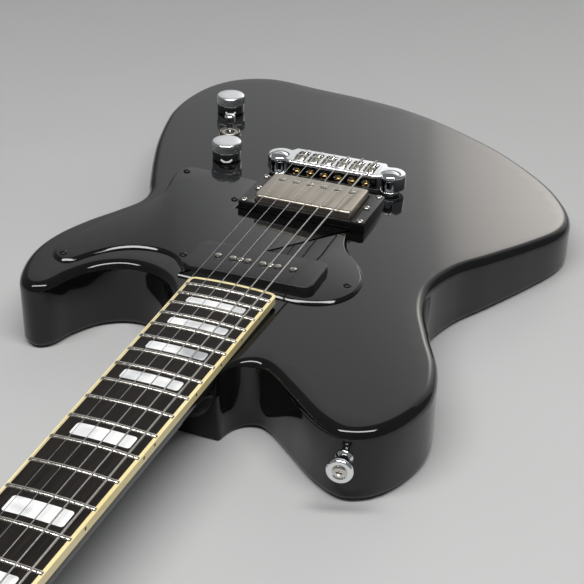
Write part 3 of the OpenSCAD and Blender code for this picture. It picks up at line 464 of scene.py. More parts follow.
def neck_shell():
    """Sections of width w and depth d along the neck: the upper half of each is flat, and the
    lower half is x = w cos^p, h = -d sin^q, where p and q shrink to square it for the head."""
    s = np.concatenate([np.linspace(254.9, 300, 40), np.linspace(306, 640, 40),
                        np.linspace(643, 690, 48), np.linspace(694, 806, 30),
                        834.3 - 28 * (1 - np.linspace(0, 1, 36)[1:]) ** 2])
    head = eased(np.clip((s - 652) / 22, 0, 1))
    left = through(HEAD_LEFT, 400)
    right = through(HEAD_RIGHT, 400)
    lo = np.where(s < SCALE, -half_width(s), np.interp(s, left[:, 0], left[:, 1]))
    hi = np.where(s < SCALE, half_width(s), np.interp(s, right[:, 0], right[:, 1]))
    w, mid = np.maximum((hi - lo) / 2, 0.05), (hi + lo) / 2
    top = BOARD_LOW + (HEAD_FACE - BOARD_LOW) * head
    sweep = 20.4 * np.exp(-(s - 254) / 9.5)
    depth = (14.3 + 0.0042 * (650 - s) + sweep) * (1 - head) + 14 * head
    back = top - depth - np.where(s > 640, 1.6 * np.sin(np.clip((s - 640) / 34, 0, 1) * math.pi), 0)
    depth = top - np.where(s > 674, HEAD_LOW, back)
    squared = eased(np.clip((s - 645) / 32, 0, 1))
    p = 0.75 * (1 - squared) + 0.16 * squared
    q = 0.90 * (1 - squared) + 0.16 * squared
    rim = 1.2 * head
    a = whole_turn(120)[None]
    c, sn = np.cos(a), np.sin(a)
    p, q, w, mid, top, depth, rim, s = (v[:, None] for v in (p, q, w, mid, top, depth, rim, s))
    upper = sn >= 0
    x = mid + w * np.sign(c) * np.abs(c) ** np.where(upper, 0.16, p)
    h = top - rim + np.where(upper, rim * np.abs(sn) ** 0.16, -(depth - rim) * np.abs(sn) ** q)
    lean = np.clip(1 - (s - 254.9) / 30, 0, 1) * (h - BOARD_LOW) * math.tan(TILT)
    return skin(on_neck(np.stack([x, np.broadcast_to(s, x.shape) - lean, h], -1)))


tongue = np.array([(-half_width(183), 183), (half_width(183), 183), (half_width(257), 257),
                   (-half_width(257), 257)])
points, faces = stepped([(tongue, -22), (tongue, BOARD_LOW)])
make("neck_shaft", together(neck_shell(), (on_neck(points), faces)), lacquer,
     stands_for=("neck",), crease=38)
refinish("truss_rod_cover", black_plastic)

# ---- Fingerboard -------------------------------------------------------------------------
# Dark wood with an arched top, oiled, let into a cream plastic binding. The blocks are pearl
# set flush with the wood, and small black dots mark the bass edge.
ebony = surface("dark_board", (0.006, 0.005, 0.0045), (0.016, 0.012, 0.010), rough=(0.38, 0.6),
                scale=(420, 16, 420), bump=0.4, depth=0.00012, detail=8.0, ior=1.3)
cream = surface("cream_binding", (0.84, 0.69, 0.32), (0.90, 0.78, 0.44), rough=(0.25, 0.38),
                scale=(40, 12, 40), bump=0.05, depth=0.00006, coat=0.4)
bone = surface("pale_nut", (0.74, 0.7, 0.6), (0.82, 0.79, 0.7), rough=(0.3, 0.45),
               scale=(200, 200, 200), bump=0.1, depth=0.00005, coat=0.2)
pearl = surface("pearl_block", (0.42, 0.43, 0.44), (0.93, 0.93, 0.92), rough=(0.12, 0.24),
                scale=(32, 60, 32), bump=0.02, depth=0.00005, coat=0.3, detail=1.5,
                contrast=(0.3, 0.52))
refinish("fretboard", ebony)
refinish("binding", cream)
refinish("inlays", pearl)
refinish("side_dots", black_plastic)
refinish("nut", bone)

# ---- Frets -------------------------------------------------------------------------------
# 22 lengths of nickel silver wire pressed across the board. Each has a low round crown that
# follows the arch, and its ends are filed over at the binding.
nickel = surface("nickel_silver", (0.62, 0.59, 0.54), (0.74, 0.71, 0.65), metal=1.0,
                 rough=(0.14, 0.28), scale=(500, 500, 500), bump=0.05, depth=0.00003)
BOARD_R = 305.0


def fret(n):
    """A half-round bar carried across the board: crown height 1.1 sin^0.8, on the arch
    h = sqrt(R^2 - x^2) - R, shrinking at both ends where it is filed over."""
    s = SCALE * 2 ** (-n / 12)
    w = half_width(s) - 0.55
    u = np.concatenate([np.linspace(-1, -0.955, 5), np.linspace(-0.9, 0.9, 19),
                        np.linspace(0.955, 1, 5)])[:, None]
    filed = np.clip((1 - np.abs(u)) / 0.045, 0, 1) ** 0.5
    a = np.linspace(0, math.pi, 11)[None]
    x = w * u + 0 * a
    crown = 1.1 * np.sin(a) ** 0.8 * (0.12 + 0.88 * filed)
    h = np.sqrt(BOARD_R**2 - x**2) - BOARD_R + BOARD_TOP - 0.02 + crown
    y = s - 1.35 * np.cos(a) * (0.8 + 0.2 * filed)
    return skin(on_neck(np.stack([x, y, h], -1)))


make("fret_wires", together(*[fret(n) for n in range(1, 23)]), nickel, stands_for=("frets",),
     crease=50)

# ---- Pickguard ---------------------------------------------------------------------------
# Thin plate of gloss black plastic with a polished bevel round its edge, which catches the
# light as a fine bright line. Black screws hold it down.
GUARD_T = 2.0
GUARD_CURVES = [
    [(126, 152), (127.5, 163), (124, 172), (117, 176.5), (111, 175), (106.5, 169.5),
     (102, 161.5), (94, 151.5), (85, 145), (75, 141.5), (64, 141), (54, 144.5), (47, 151),
     (42.5, 157), (41, 165)],
    [(-26, 166), (-38, 166.5), (-50, 163.5), (-59.5, 157), (-65.5, 147), (-66.8, 135),
     (-64.5, 123), (-57.5, 110), (-49, 100), (-42, 90), (-38, 78), (-37, 67.4)],
    [(60, 21), (80, 20), (96, 19.5), (104, 22), (107, 30), (105.5, 42), (102.5, 55), (101, 67),
     (103, 80), (109, 96), (117, 114), (123, 134), (126, 152)],
]


def guard_shell():
    """The outline at each height of the bevelled edge, closed above and below."""
    c = [through(np.array(k, float), 90) for k in GUARD_CURVES]
    ring = np.vstack([c[0], c[1], [(45, 67.4), (45, 24)], c[2][:-1]])
    levels = [(0, BODY_T), (0, BODY_T + 0.3), (0.1, BODY_T + 0.45), (0.45, BODY_T + 0.78),
              (1.0, BODY_T + 1.26), (1.55, BODY_T + 1.73), (1.9, BODY_T + 1.95), (2.2, BODY_T + GUARD_T)]
    return skin(stack(ring, levels))


make("pickguard_plate", guard_shell(), black_plastic, stands_for=("pickguard",),
     crease=50)

# ---- Screws ------------------------------------------------------------------------------
# Small domed screws with a cross recess: black ones in the guard, the truss rod cover and the
# control cover, nickel ones in the pickup ring, the tuners and the string trees.
black_metal = surface("black_oxide", (0.012, 0.012, 0.013), (0.03, 0.03, 0.032), metal=0.6,
                      rough=(0.25, 0.4), scale=(600, 600, 600), bump=0.05, depth=0.00003)


def taken(form):
    """The points in millimetres and the faces of an object, which is then deleted."""
    mesh = form.data
    points = np.zeros(len(mesh.vertices) * 3)
    mesh.vertices.foreach_get("co", points)
    faces = [list(f.vertices) for f in mesh.polygons]
    bpy.data.objects.remove(form)
    return points.reshape(-1, 3) * 1000, faces


def cross_pattern(head_r, head_h, shank_r, length):
    """One screw, head up at the origin: a lathe form with two crossed slots cut in its crown."""
    dome = [(head_r * c, head_h * (0.35 + 0.65 * math.sqrt(1 - c * c)))
            for c in (1, 0.92, 0.78, 0.6, 0.4, 0.2, 0.03)]
    form = make("pattern", turned([(0.2, -length), (shank_r, -length + 1), (shank_r, 0),
                                   (head_r, 0)] + dome, 32), black_metal, body=None)
    arm, w = head_r * 0.56, head_r * 0.13
    for box in ((arm, w), (w, arm)):
        ring = np.array([(-box[0], -box[1]), (box[0], -box[1]), (box[0], box[1]),
                         (-box[0], box[1])])
        carve(form, stepped([(ring * 0.45, head_h * 0.15), (ring, head_h * 1.3)]))
    return taken(form)


def slot_pattern(head_r, head_h, shank_r, length, width=0.5, depth=0.8, flat=False):
    """One screw with a straight slot: a lathe form with one bar cut across its crown."""
    rise = [(head_r, head_h * 0.6), (head_r * 0.93, head_h * 0.9), (head_r * 0.85, head_h)] \
        if flat else [(head_r * c, head_h * (0.3 + 0.7 * math.sqrt(1 - c * c)))
                      for c in (1, 0.95, 0.85, 0.7, 0.5, 0.25, 0.03)]
    form = make("pattern", turned([(shank_r, -length), (shank_r, 0), (head_r, 0)] + rise, 40),
                black_metal, body=None)
    ring = np.array([(-head_r * 1.2, -width / 2), (head_r * 1.2, -width / 2),
                     (head_r * 1.2, width / 2), (-head_r * 1.2, width / 2)])
    carve(form, stepped([(ring, head_h - depth), (ring, head_h * 2)]))
    return taken(form)


def spun(pattern, turn):
    """A pattern turned about its own axis by an angle in degrees."""
    c, s = math.cos(math.radians(turn)), math.sin(math.radians(turn))
    return pattern[0] @ np.array([[c, s, 0], [-s, c, 0], [0, 0, 1]]), pattern[1]


def sown(pattern, spots, neck=False):
    """Copies of a pattern at (x, y, z, turn) spots. A fifth value is the way its head points."""
    out = []
    for x, y, z, turn, *axis in spots:
        p, f = spun(pattern, turn)
        p = placed(p, (x, y, z), axis[0] if axis else (0, 0, 1))
        out.append((on_neck(p) if neck else p, f))
    return out


GUARD_SCREWS = [(118.5, 168.5, 20), (48.8, 141, 65), (100, 29, 10), (51, 56.5, 40),
                (-59.3, 137.4, 70)]
small_cross = cross_pattern(2.4, 1.1, 1.1, 8)
cover_cross = cross_pattern(1.9, 0.95, 0.9, 5)
TRUSS_SCREWS = [(-6, 676, HEAD_FACE + 1.8, 15), (6, 676, HEAD_FACE + 1.8, 50),
                (0, 700, HEAD_FACE + 1.8, 80)]
make("black_cross_screws", together(
    *sown(small_cross, [(x, y, BODY_T + GUARD_T, t) for x, y, t in GUARD_SCREWS]),
    *sown(cover_cross, TRUSS_SCREWS, neck=True),
    *sown(small_cross, [(*p, 1.3, 25 * k, (0, 0, -1)) for k, p in enumerate(COVER_SCREWS)])),
    black_metal, stands_for=("black_screws",))

# ---- Neck pickup -------------------------------------------------------------------------
# Soapbar pickup: a satin black plastic cover with softly rounded edges, six slotted pole
# screws down its middle and two fixing screws between them, over a coil and two magnets.
satin_black = surface("satin_black_plastic", (0.012, 0.012, 0.013), (0.022, 0.022, 0.024),
                      rough=(0.28, 0.4), scale=(900, 900, 900), bump=0.12, depth=0.00004)
magnet = surface("ground_magnet", (0.16, 0.16, 0.16), (0.24, 0.23, 0.22), metal=0.7,
                 rough=(0.4, 0.6), scale=(300, 300, 300), bump=0.2, depth=0.0001)
SOAP_Y, SOAP_TOP, SOAP_LEAN = 140.0, BODY_T + 6.0, math.radians(0.9)
POLE_X = [25 - 10 * i for i in range(6)]


def leaning(shell):
    """The shell tipped a little about the line across the pickup, bass side up."""
    p, f = shell
    c, s = math.cos(SOAP_LEAN), math.sin(SOAP_LEAN)
    z = p[:, 2] - SOAP_TOP
    return np.stack([p[:, 0] * c + z * s, p[:, 1], SOAP_TOP + z * c - p[:, 0] * s], 1), f


cover = make("soapbar_cover",
             leaning(slab(oblong(86, 35, 6.5, 0, SOAP_Y, 12), SOAP_TOP - 15, SOAP_TOP, 0.8, 0.3, 6)),
             satin_black, stands_for=("p90_cover",))
carve(cover, together(*[leaning(turned([(2.4, SOAP_TOP - 0.9), (2.4, SOAP_TOP + 1)], 32, (x, SOAP_Y, 0)))
                        for x in POLE_X + [-10, 10]]))
for name in ("p90_coil", "humbucker_coils"):
    refinish(name, satin_black)
refinish("bar_magnets", magnet)
pole = slot_pattern(2.25, 1.0, 1.7, 18, 0.55, 0.7, flat=True)
cross = cross_pattern(2.2, 1.2, 1.4, 30)

# ---- Bridge pickup -----------------------------------------------------------------------
# Humbucker in a pressed nickel cover that has aged warm and fine scratched, with one row of
# slotted poles, held by two spring screws in a plain black ring.
HUM_Y, HUM_TOP, RING_TOP = 44.0, BODY_T + 12.0, BODY_T + 7.0
HUM_POLE_Y = HUM_Y - 9.5
aged_nickel = surface("aged_nickel", (0.42, 0.375, 0.31), (0.56, 0.51, 0.44), metal=1.0,
                      rough=(0.26, 0.42), scale=(1200, 30, 600), bump=0.10, depth=0.00003,
                      detail=5.0, contrast=(0.3, 0.7))
cover = make("humbucker_can", slab(oblong(68.6, 38.1, 3.2, 0, HUM_Y, 8), HUM_TOP - 16, HUM_TOP, 1.7, 0.1, 7),
             aged_nickel, stands_for=("humbucker_cover",))
carve(cover, together(*[turned([(2.6, HUM_TOP - 1.2), (2.6, HUM_TOP + 1)], 32, (x, HUM_POLE_Y, 0))
                        for x in POLE_X]))


def ring_shell():
    """The ring's wall carried round a rounded rectangle: outer and inner outlines at each
    height of a wall with softened rims."""
    outer = oblong(89, 46, 2.4, 0, HUM_Y, 8)
    inner = oblong(69.6, 39, 3.4, 0, HUM_Y, 8)
    no, ni = outward(outer), outward(inner)
    rows = [level(outer, BODY_T), level(outer, RING_TOP - 0.7),
            level(outer - no * 0.2, RING_TOP - 0.2), level(outer - no * 0.7, RING_TOP),
            level(inner + ni * 0.5, RING_TOP), level(inner + ni * 0.1, RING_TOP - 0.15),
            level(inner, RING_TOP - 0.5), level(inner, BODY_T)]
    return skin(np.stack(rows), wrap_rows=True)


make("humbucker_ring_frame", ring_shell(), black_plastic, stands_for=("humbucker_ring",))
hum_pole = slot_pattern(2.45, 1.0, 1.7, 17, 0.6, 0.75, flat=True)
make("pole_slot_screws", together(
    *[leaning(p) for p in sown(pole, [(x, SOAP_Y, SOAP_TOP + 0.1, t) for x, t in
                                      zip(POLE_X, (35, 75, 10, 60, 20, 80))])],
    *sown(hum_pole, [(x, HUM_POLE_Y, HUM_TOP - 0.55, t)
                     for x, t in zip(POLE_X, (15, 40, 70, 25, 55, 5))])),
    nickel, stands_for=("pole_screws",))
ring_cross = cross_pattern(2.2, 1.1, 1.2, 12)
round_cross = cross_pattern(2.4, 1.7, 1.4, 20)
make("pickup_fixing_screws", together(
    *[leaning(p) for p in sown(cross, [(-10, SOAP_Y, SOAP_TOP, 30), (10, SOAP_Y, SOAP_TOP, 5)])],
    *sown(round_cross, [(sx * 38.7, HUM_Y, RING_TOP, 20 + 30 * sx) for sx in (-1, 1)])),
    nickel, stands_for=("pickup_mount_screws",))

# ---- Bridge ------------------------------------------------------------------------------
# Cast wraparound bridge, chromed: a bar with a hooked lobe on each end, six windows for the
# saddles and six sockets for the balls of the strings. Two domed studs hold it.
chrome = surface("bright_chrome", (0.86, 0.87, 0.88), (0.90, 0.91, 0.92), metal=1.0,
                 rough=(0.03, 0.06), scale=(90, 90, 90), bump=0.012, depth=0.00002)
BRIDGE_LOW, BRIDGE_TOP = BODY_T + 3.0, BODY_T + 14.0
STUD_X, STUD_Y = 41.0, 1.0
SADDLE_FLOOR, SADDLE_TOP, BALL_Z = BRIDGE_TOP - 3, BODY_T + 16.35, BODY_T + 7.0
SPAN, NUT_SPAN = 51.0, 35.5
SADDLE_X = [SPAN * (0.5 - i / 5) for i in range(6)]


def bridge_outline():
    """Plan of the bar and its two lobes, counter-clockwise, with the inner corners eased."""
    a = np.linspace(-2.1, 1.35, 28)
    right = np.column_stack([STUD_X + 9.5 * np.cos(a), -2 + 9.5 * np.sin(a)])
    left = right[::-1] * (-1, 1)
    return np.vstack([soften([(-33, -15), (33, -15)], 0), right,
                      soften([(36, 5.4), (33, 8), (-33, 8), (-36, 5.4)], [0, 2, 2, 0]), left])


def bridge_body():
    """Makes the casting: plan outline with round rims, less windows, sockets and hooks."""
    obj = make("bridge_casting", slab(bridge_outline(), BRIDGE_LOW, BRIDGE_TOP, 1.6, 1.0, 7), chrome,
               stands_for=("bridge",), crease=35)
    cuts = []
    for x in SADDLE_X:
        window = oblong(8.2, 16, 0.6, x, -2.5, 4)
        cuts.append(stepped([(window, SADDLE_FLOOR), (window, BRIDGE_TOP + 4)]))
        cuts.append(turned([(3.1, 0), (3.1, 20)], 32, (x, 2.2, BALL_Z), (0, 1, 0)))
    carve(obj, together(*cuts), 35)
    carve(obj, together(*[turned([(0.95, 0), (0.95, 40)], 16, (x, -20, BALL_Z), (0, 1, 0))
                          for x in SADDLE_X]), 35)
    for sx in (-1, 1):
        mouth = np.array([(-4.15, 0), (4.15, 0), (4.15, 20), (-4.15, 20)]) + (sx * STUD_X, STUD_Y)
        carve(obj, stepped([(mouth, 40), (mouth, 80)]), 35)
    carve(obj, together(*[turned([(4.15, 40), (4.15, BRIDGE_TOP - 3.6), (6.95, BRIDGE_TOP - 3.6),
                                  (6.95, 80)], 48, (sx * STUD_X, STUD_Y, 0)) for sx in (-1, 1)]), 35)


bridge_body()
stud = soften([(0.05, 20), (4.5, 20), (4.5, BODY_T + 0.5), (7.2, BODY_T + 0.5), (7.2, BRIDGE_LOW - 0.3),
               (4, BRIDGE_LOW - 0.2), (4, BRIDGE_TOP - 3.4), (6.9, BRIDGE_TOP - 3.4),
               (7.1, BRIDGE_TOP - 1.6), (5.9, BRIDGE_TOP + 0.1), (3.2, BRIDGE_TOP + 1.35),
               (0.05, BRIDGE_TOP + 1.75)], [0, 0, 0, 0.5, 0.5, 0, 0, 0.5, 1.0, 1.4, 1.5, 0], 7)
studs = make("bridge_stud_pair", together(*[turned(stud, 56, (sx * STUD_X, STUD_Y, 0))
                                            for sx in (-1, 1)]),
             chrome, stands_for=("bridge_studs",), crease=40)
for sx, turn in ((-1, 12), (1, -8)):
    c, s = math.cos(math.radians(turn)), math.sin(math.radians(turn))
    bar = np.array([(-9, -0.45), (9, -0.45), (9, 0.45), (-9, 0.45)]) @ np.array([[c, s], [-s, c]])
    bar = bar + (sx * STUD_X, STUD_Y)
    carve(studs, stepped([(bar, BRIDGE_TOP + 0.4), (bar, BRIDGE_TOP + 4)]), 40)
refinish("stud_inserts", nickel)


def saddle(x):
    """A block whose side view is a roof with its crest under the string, carried across with
    softened ends."""
    side = soften([(-5, SADDLE_FLOOR), (5, SADDLE_FLOOR), (5, SADDLE_FLOOR + 2.4),
                   (0.9, SADDLE_TOP - 0.1), (-0.9, SADDLE_TOP - 0.1), (-5, SADDLE_FLOOR + 3.3)],
                  [0.3, 0.3, 0.7, 0.8, 0.8, 0.7], 4, closed=True)
    n = outward(side)
    rows = []
    for across, inset in ((-3.3, 0.5), (-3.05, 0.15), (-2.7, 0), (2.7, 0), (3.05, 0.15), (3.3, 0.5)):
        yz = side - n * inset
        rows.append(np.column_stack([np.full(len(yz), x + across), yz]))
    return skin(np.stack(rows))


def saddle_screw(x):
    """The threaded rod behind a saddle: radius with a fine saw wave, and its round head."""
    y = np.arange(-14.6, -4.9, 0.22)
    r = 1.15 + 0.14 * (np.arange(len(y)) % 2)
    rod = turned(np.column_stack([r, -y]), 14, (x, 0, SADDLE_FLOOR + 1.6), (0, -1, 0))
    head = turned([(0.05, 15.02), (1.4, 15.02), (1.45, 15.1), (1.45, 15.3), (1.2, 15.4), (0.05, 15.4)],
                  24, (x, 0, SADDLE_FLOOR + 1.6), (0, -1, 0))
    return together(rod, head)


make("bridge_saddles", together(*[saddle(x) for x in SADDLE_X], *[saddle_screw(x) for x in SADDLE_X]),
     nickel, stands_for=("saddles",), crease=40)

# ---- Strings -----------------------------------------------------------------------------
# Three plain steel strings and three wound with nickel wire. Each starts at a brass ball
# inside the bridge, wraps over its back, crosses the saddle and the nut, and winds on a post.
wire = surface("plain_steel_wire", (0.70, 0.70, 0.69), (0.80, 0.80, 0.79), metal=1.0,
               rough=(0.26, 0.34), scale=(900, 200, 900), bump=0.03, depth=0.00001)
brass = surface("brass_ball", (0.72, 0.48, 0.17), (0.82, 0.58, 0.25), metal=1.0, rough=(0.12, 0.25),
                scale=(500, 500, 500), bump=0.05, depth=0.00003)


def wound_wire():
    """Nickel winding: fine ridges across the string, from the length stored on its points."""
    m = surface("wound_nickel_wire", (0.58, 0.56, 0.53), (0.68, 0.66, 0.62), metal=1.0,
                rough=(0.34, 0.44), scale=(700, 700, 700))
    tree = m.node_tree
    shader = tree.nodes["Principled BSDF"]
    along = tree.nodes.new("ShaderNodeAttribute")
    along.attribute_name = "along"
    sine = tree.nodes.new("ShaderNodeMath")
    sine.operation = "SINE"
    pitch = tree.nodes.new("ShaderNodeMath")
    pitch.operation = "MULTIPLY"
    pitch.inputs[1].default_value = 2 * math.pi / 0.34
    relief = node_of(tree, "ShaderNodeBump", Strength=0.3, Distance=0.00003)
    tree.links.new(along.outputs["Fac"], pitch.inputs[0])
    tree.links.new(pitch.outputs[0], sine.inputs[0])
    tree.links.new(sine.outputs[0], relief.inputs["Height"])
    tree.links.new(relief.outputs["Normal"], shader.inputs["Normal"])
    return m


STRING_R = [0.13, 0.17, 0.22, 0.33, 0.46, 0.58]
TREE_TOP, TREE_BAR, TREE_S = HEAD_FACE + 6.2, 1.4, (746, 718)
WRAP_TOP = HEAD_FACE + 8
TUNER_FIRST, TUNER_LAST = np.array([-20.8, 682.0]), np.array([12.4, 812.0])
TUNERS = [TUNER_FIRST + (TUNER_LAST - TUNER_FIRST) * (5 - i) / 5 for i in range(6)]
NUT_X = [NUT_SPAN * (0.5 - i / 5) for i in range(6)]


def lane(i, s):
    """Where string i lies across the neck at the distance s from the saddles."""
    return SADDLE_X[i] + (NUT_X[i] - SADDLE_X[i]) * s / SCALE


def string_path(i):
    """Points from the ball, over the bridge and the nut, under a tree, to the post's winding."""
    r, x = STRING_R[i], SADDLE_X[i]
    start = soften([(x, 3, BALL_Z), (x, -13.5, BALL_Z), (x, -15.9 - r, BALL_Z + 1.3),
                    (x, -15.9 - r, BALL_Z + 4), (x, -15.5 - r, BALL_Z + 6.3 + r),
                    (x, -13.0, BALL_Z + 7.25 + r), (x, 0, BODY_T + 16.5 + r),
                    tuple(on_neck((NUT_X[i], SCALE + 0.4, 0.4 + r)))],
                   [0, 2, 1.3, 1.3, 1.2, 1.2, 0.9, 0], 5)
    post = TUNERS[i]
    reach = 3.3 + r
    tree_s = TREE_S[i // 2] if i < 4 else None
    rest = [(NUT_X[i], SCALE + 3.2, 0.1 + r)]
    if tree_s:
        rest.append((lane(i, tree_s), tree_s, TREE_TOP - TREE_BAR - r - 0.5))
    rest.append((post[0] + reach, post[1], WRAP_TOP))
    turns = 3 if i < 3 else 2
    a = np.linspace(0, 2 * math.pi * turns, 40 * turns)[1:]
    coil = np.column_stack([post[0] + reach * np.cos(a), post[1] + reach * np.sin(a),
                            WRAP_TOP - a / (2 * math.pi) * 2.15 * r])
    return np.vstack([start, on_neck(rest), on_neck(coil)])


def cable(path, r, sides):
    """A circle of radius r carried along the path, its spokes kept from twisting by turning
    them with a fixed sideways direction, and the length along it for each point."""
    d = np.gradient(path, axis=0)
    d /= np.linalg.norm(d, axis=1)[:, None]
    u = np.cross(d, np.broadcast_to([[0.08, 0.02, 0.99]], d.shape))
    u /= np.linalg.norm(u, axis=1)[:, None]
    v = np.cross(d, u)
    a = whole_turn(sides)
    grid = path[:, None] + r * (u[:, None] * np.cos(a)[None, :, None]
                                + v[:, None] * np.sin(a)[None, :, None])
    run = np.concatenate([[0], np.cumsum(np.linalg.norm(np.diff(path, axis=0), axis=1))])
    return skin(grid), np.repeat(run, sides)


def string_set(name, which, material, node):
    """The strings of one kind as one piece, with the length along each as an attribute."""
    made = [cable(string_path(i), STRING_R[i], 10) for i in which]
    obj = make(name, together(*[m[0] for m in made]), material, stands_for=(node,),
               crease=60)
    along = obj.data.attributes.new("along", "FLOAT", "POINT")
    along.data.foreach_set("value", np.concatenate([m[1] for m in made]).astype(np.float32))


string_set("plain_string_set", (0, 1, 2), wire, "plain_strings")
string_set("wound_string_set", (3, 4, 5), wound_wire(), "wound_strings")
ball = soften([(0.75, -1.9), (1.7, -1.9), (2, -1.4), (2, -0.9), (1.5, -0.5), (1.5, 0.5), (2, 0.9),
               (2, 1.4), (1.7, 1.9), (0.75, 1.9)], 0.25, 3, closed=True)
make("brass_balls", together(*[turned(ball, 28, (x, 5, BALL_Z), (1, 0, 0), ring=True)
                               for x in SADDLE_X]),
     brass, stands_for=("ball_ends",), crease=50)
refinish("string_trees", nickel)

# ---- Tuners ------------------------------------------------------------------------------
# Six chromed tuners. The post turns in a bushing nut in the headstock, and the button's worm
# shaft runs in a cast housing screwed to the back.
GEAR_GAP, HOUSING_DEEP = 7.5, 10
WORM_H = HEAD_LOW - 5
TUNER_TURN = math.atan2(TUNER_LAST[0] - TUNER_FIRST[0], TUNER_LAST[1] - TUNER_FIRST[1])


def at_tuner(i, p):
    """Points in a tuner's own frame (+X away from the buttons, +Y along the row)."""
    c, s = math.cos(-TUNER_TURN), math.sin(-TUNER_TURN)
    p = np.asarray(p, float)
    x = TUNERS[i][0] + p[..., 0] * c - p[..., 1] * s
    y = TUNERS[i][1] + p[..., 0] * s + p[..., 1] * c
    return on_neck(np.stack([x, y, p[..., 2]], -1))


def for_tuner(i, shell):
    """A shell moved from a tuner's own frame to its place on the head."""
    return at_tuner(i, shell[0]), shell[1]


housing = slab(oblong(19, 19.5, 2.6, -2, 2.25, 6), HEAD_LOW - HOUSING_DEEP, HEAD_LOW, 0.4, 1.6, 5)
make("tuner_housing_set", together(*[for_tuner(i, housing) for i in range(6)]), chrome,
     stands_for=("tuner_housings",))
hexagon = np.array([(5.9 * math.cos(a), 5.9 * math.sin(a)) for a in np.radians(np.arange(0, 360, 60))])
bushing = together(
    turned([(3.1, HEAD_LOW + 1), (5, HEAD_LOW + 1), (5, HEAD_FACE), (7.2, HEAD_FACE),
            (7.2, HEAD_FACE + 0.5), (6.9, HEAD_FACE + 0.9), (3.1, HEAD_FACE + 0.9)], 48, ring=True),
    slab(soften(hexagon, 0.5, 3, closed=True), HEAD_FACE + 0.8, HEAD_FACE + 3.2, 0.5, 0.1, 3))
make("tuner_bushing_set", together(*[for_tuner(i, bushing) for i in range(6)]), nickel,
     stands_for=("tuner_bushings",))
post = soften([(0.05, HEAD_LOW - 7.5), (2.95, HEAD_LOW - 7.5), (2.95, HEAD_FACE + 4),
               (2.7, HEAD_FACE + 5.5), (2.7, HEAD_FACE + 12.5), (3, HEAD_FACE + 13.6),
               (3, HEAD_FACE + 15.2), (2.3, HEAD_FACE + 16), (0.05, HEAD_FACE + 16)],
              [0, 0.3, 1, 1, 0.8, 0.8, 0.6, 0.5, 0], 4)
paddle = [(7.9 * (0.30 + 0.70 * math.sin(a) ** 0.55), 4.3 * (0.45 + 0.55 * math.sin(a) ** 0.5),
           17.2 + 12.6 * (1 - math.cos(a)) / 2) for a in math.pi * np.linspace(0, 1, 25)]


def button_shell():
    """Worm shaft, collar and paddle: the paddle's sections are ovals whose two half-widths
    swell and shrink along the shaft."""
    shaft = turned(soften([(0.05, -5.3), (1.5, -5.3), (1.5, 13.6), (2.9, 13.8), (3.1, 15.5), (2.4, 17.4),
                           (1.6, 18), (0.05, 18)], [0, 0.2, 0.2, 0.4, 0.8, 0.8, 0.3, 0], 4), 28)
    a = whole_turn(40)
    rows = [np.column_stack([w * np.sign(np.cos(a)) * np.abs(np.cos(a)) ** 0.8,
                             d * np.sign(np.sin(a)) * np.abs(np.sin(a)) ** 0.8,
                             np.full(len(a), z)]) for w, d, z in paddle]
    p, f = together(shaft, skin(np.stack(rows)))
    return np.stack([-p[:, 2], GEAR_GAP + p[:, 1], WORM_H + p[:, 0]], -1), f


for i in range(6):
    make(f"tuner_post_{i + 1}_pin", for_tuner(i, turned(post, 32)), nickel, body=f"post_{i + 1}",
         stands_for=(f"tuner_post_{i + 1}",))
    make(f"tuner_button_{i + 1}_grip", for_tuner(i, button_shell()), chrome, body=f"button_{i + 1}",
         stands_for=(f"tuner_button_{i + 1}",))
TREES = [((lane(2 * k, s) + lane(2 * k + 1, s)) / 2, s) for k, s in enumerate(TREE_S)]
tuner_cross = cross_pattern(1.7, 0.9, 0.9, 6)
tuner_spots = [(*(TUNERS[i] + np.array([math.cos(TUNER_TURN) * -5.2 + math.sin(TUNER_TURN) * -5.6,
                                        math.sin(TUNER_TURN) * 5.2 + math.cos(TUNER_TURN) * -5.6])),
                HEAD_LOW - HOUSING_DEEP, 15 * i, (0, 0, -1)) for i in range(6)]
make("nickel_cross_screws", together(
    *sown(ring_cross, [(sx * 41, HUM_Y + sy * 19.5, RING_TOP, 40 + 20 * sx + 10 * sy)
                       for sx in (-1, 1) for sy in (-1, 1)]),
    *sown(tuner_cross, tuner_spots, neck=True),
    *sown(tuner_cross, [(*t, TREE_TOP, 20) for t in TREES], neck=True)),
    nickel, stands_for=("chrome_screws",))

# ---- Knobs -------------------------------------------------------------------------------
# Two turned knobs, chromed: a smooth skirt, a diamond-knurled band and a flat bevelled top.
# Each is fixed to its pot's shaft.
KNOB_R, KNOB_LOW, KNOB_H = 10.7, BODY_T + 0.8, 13.2


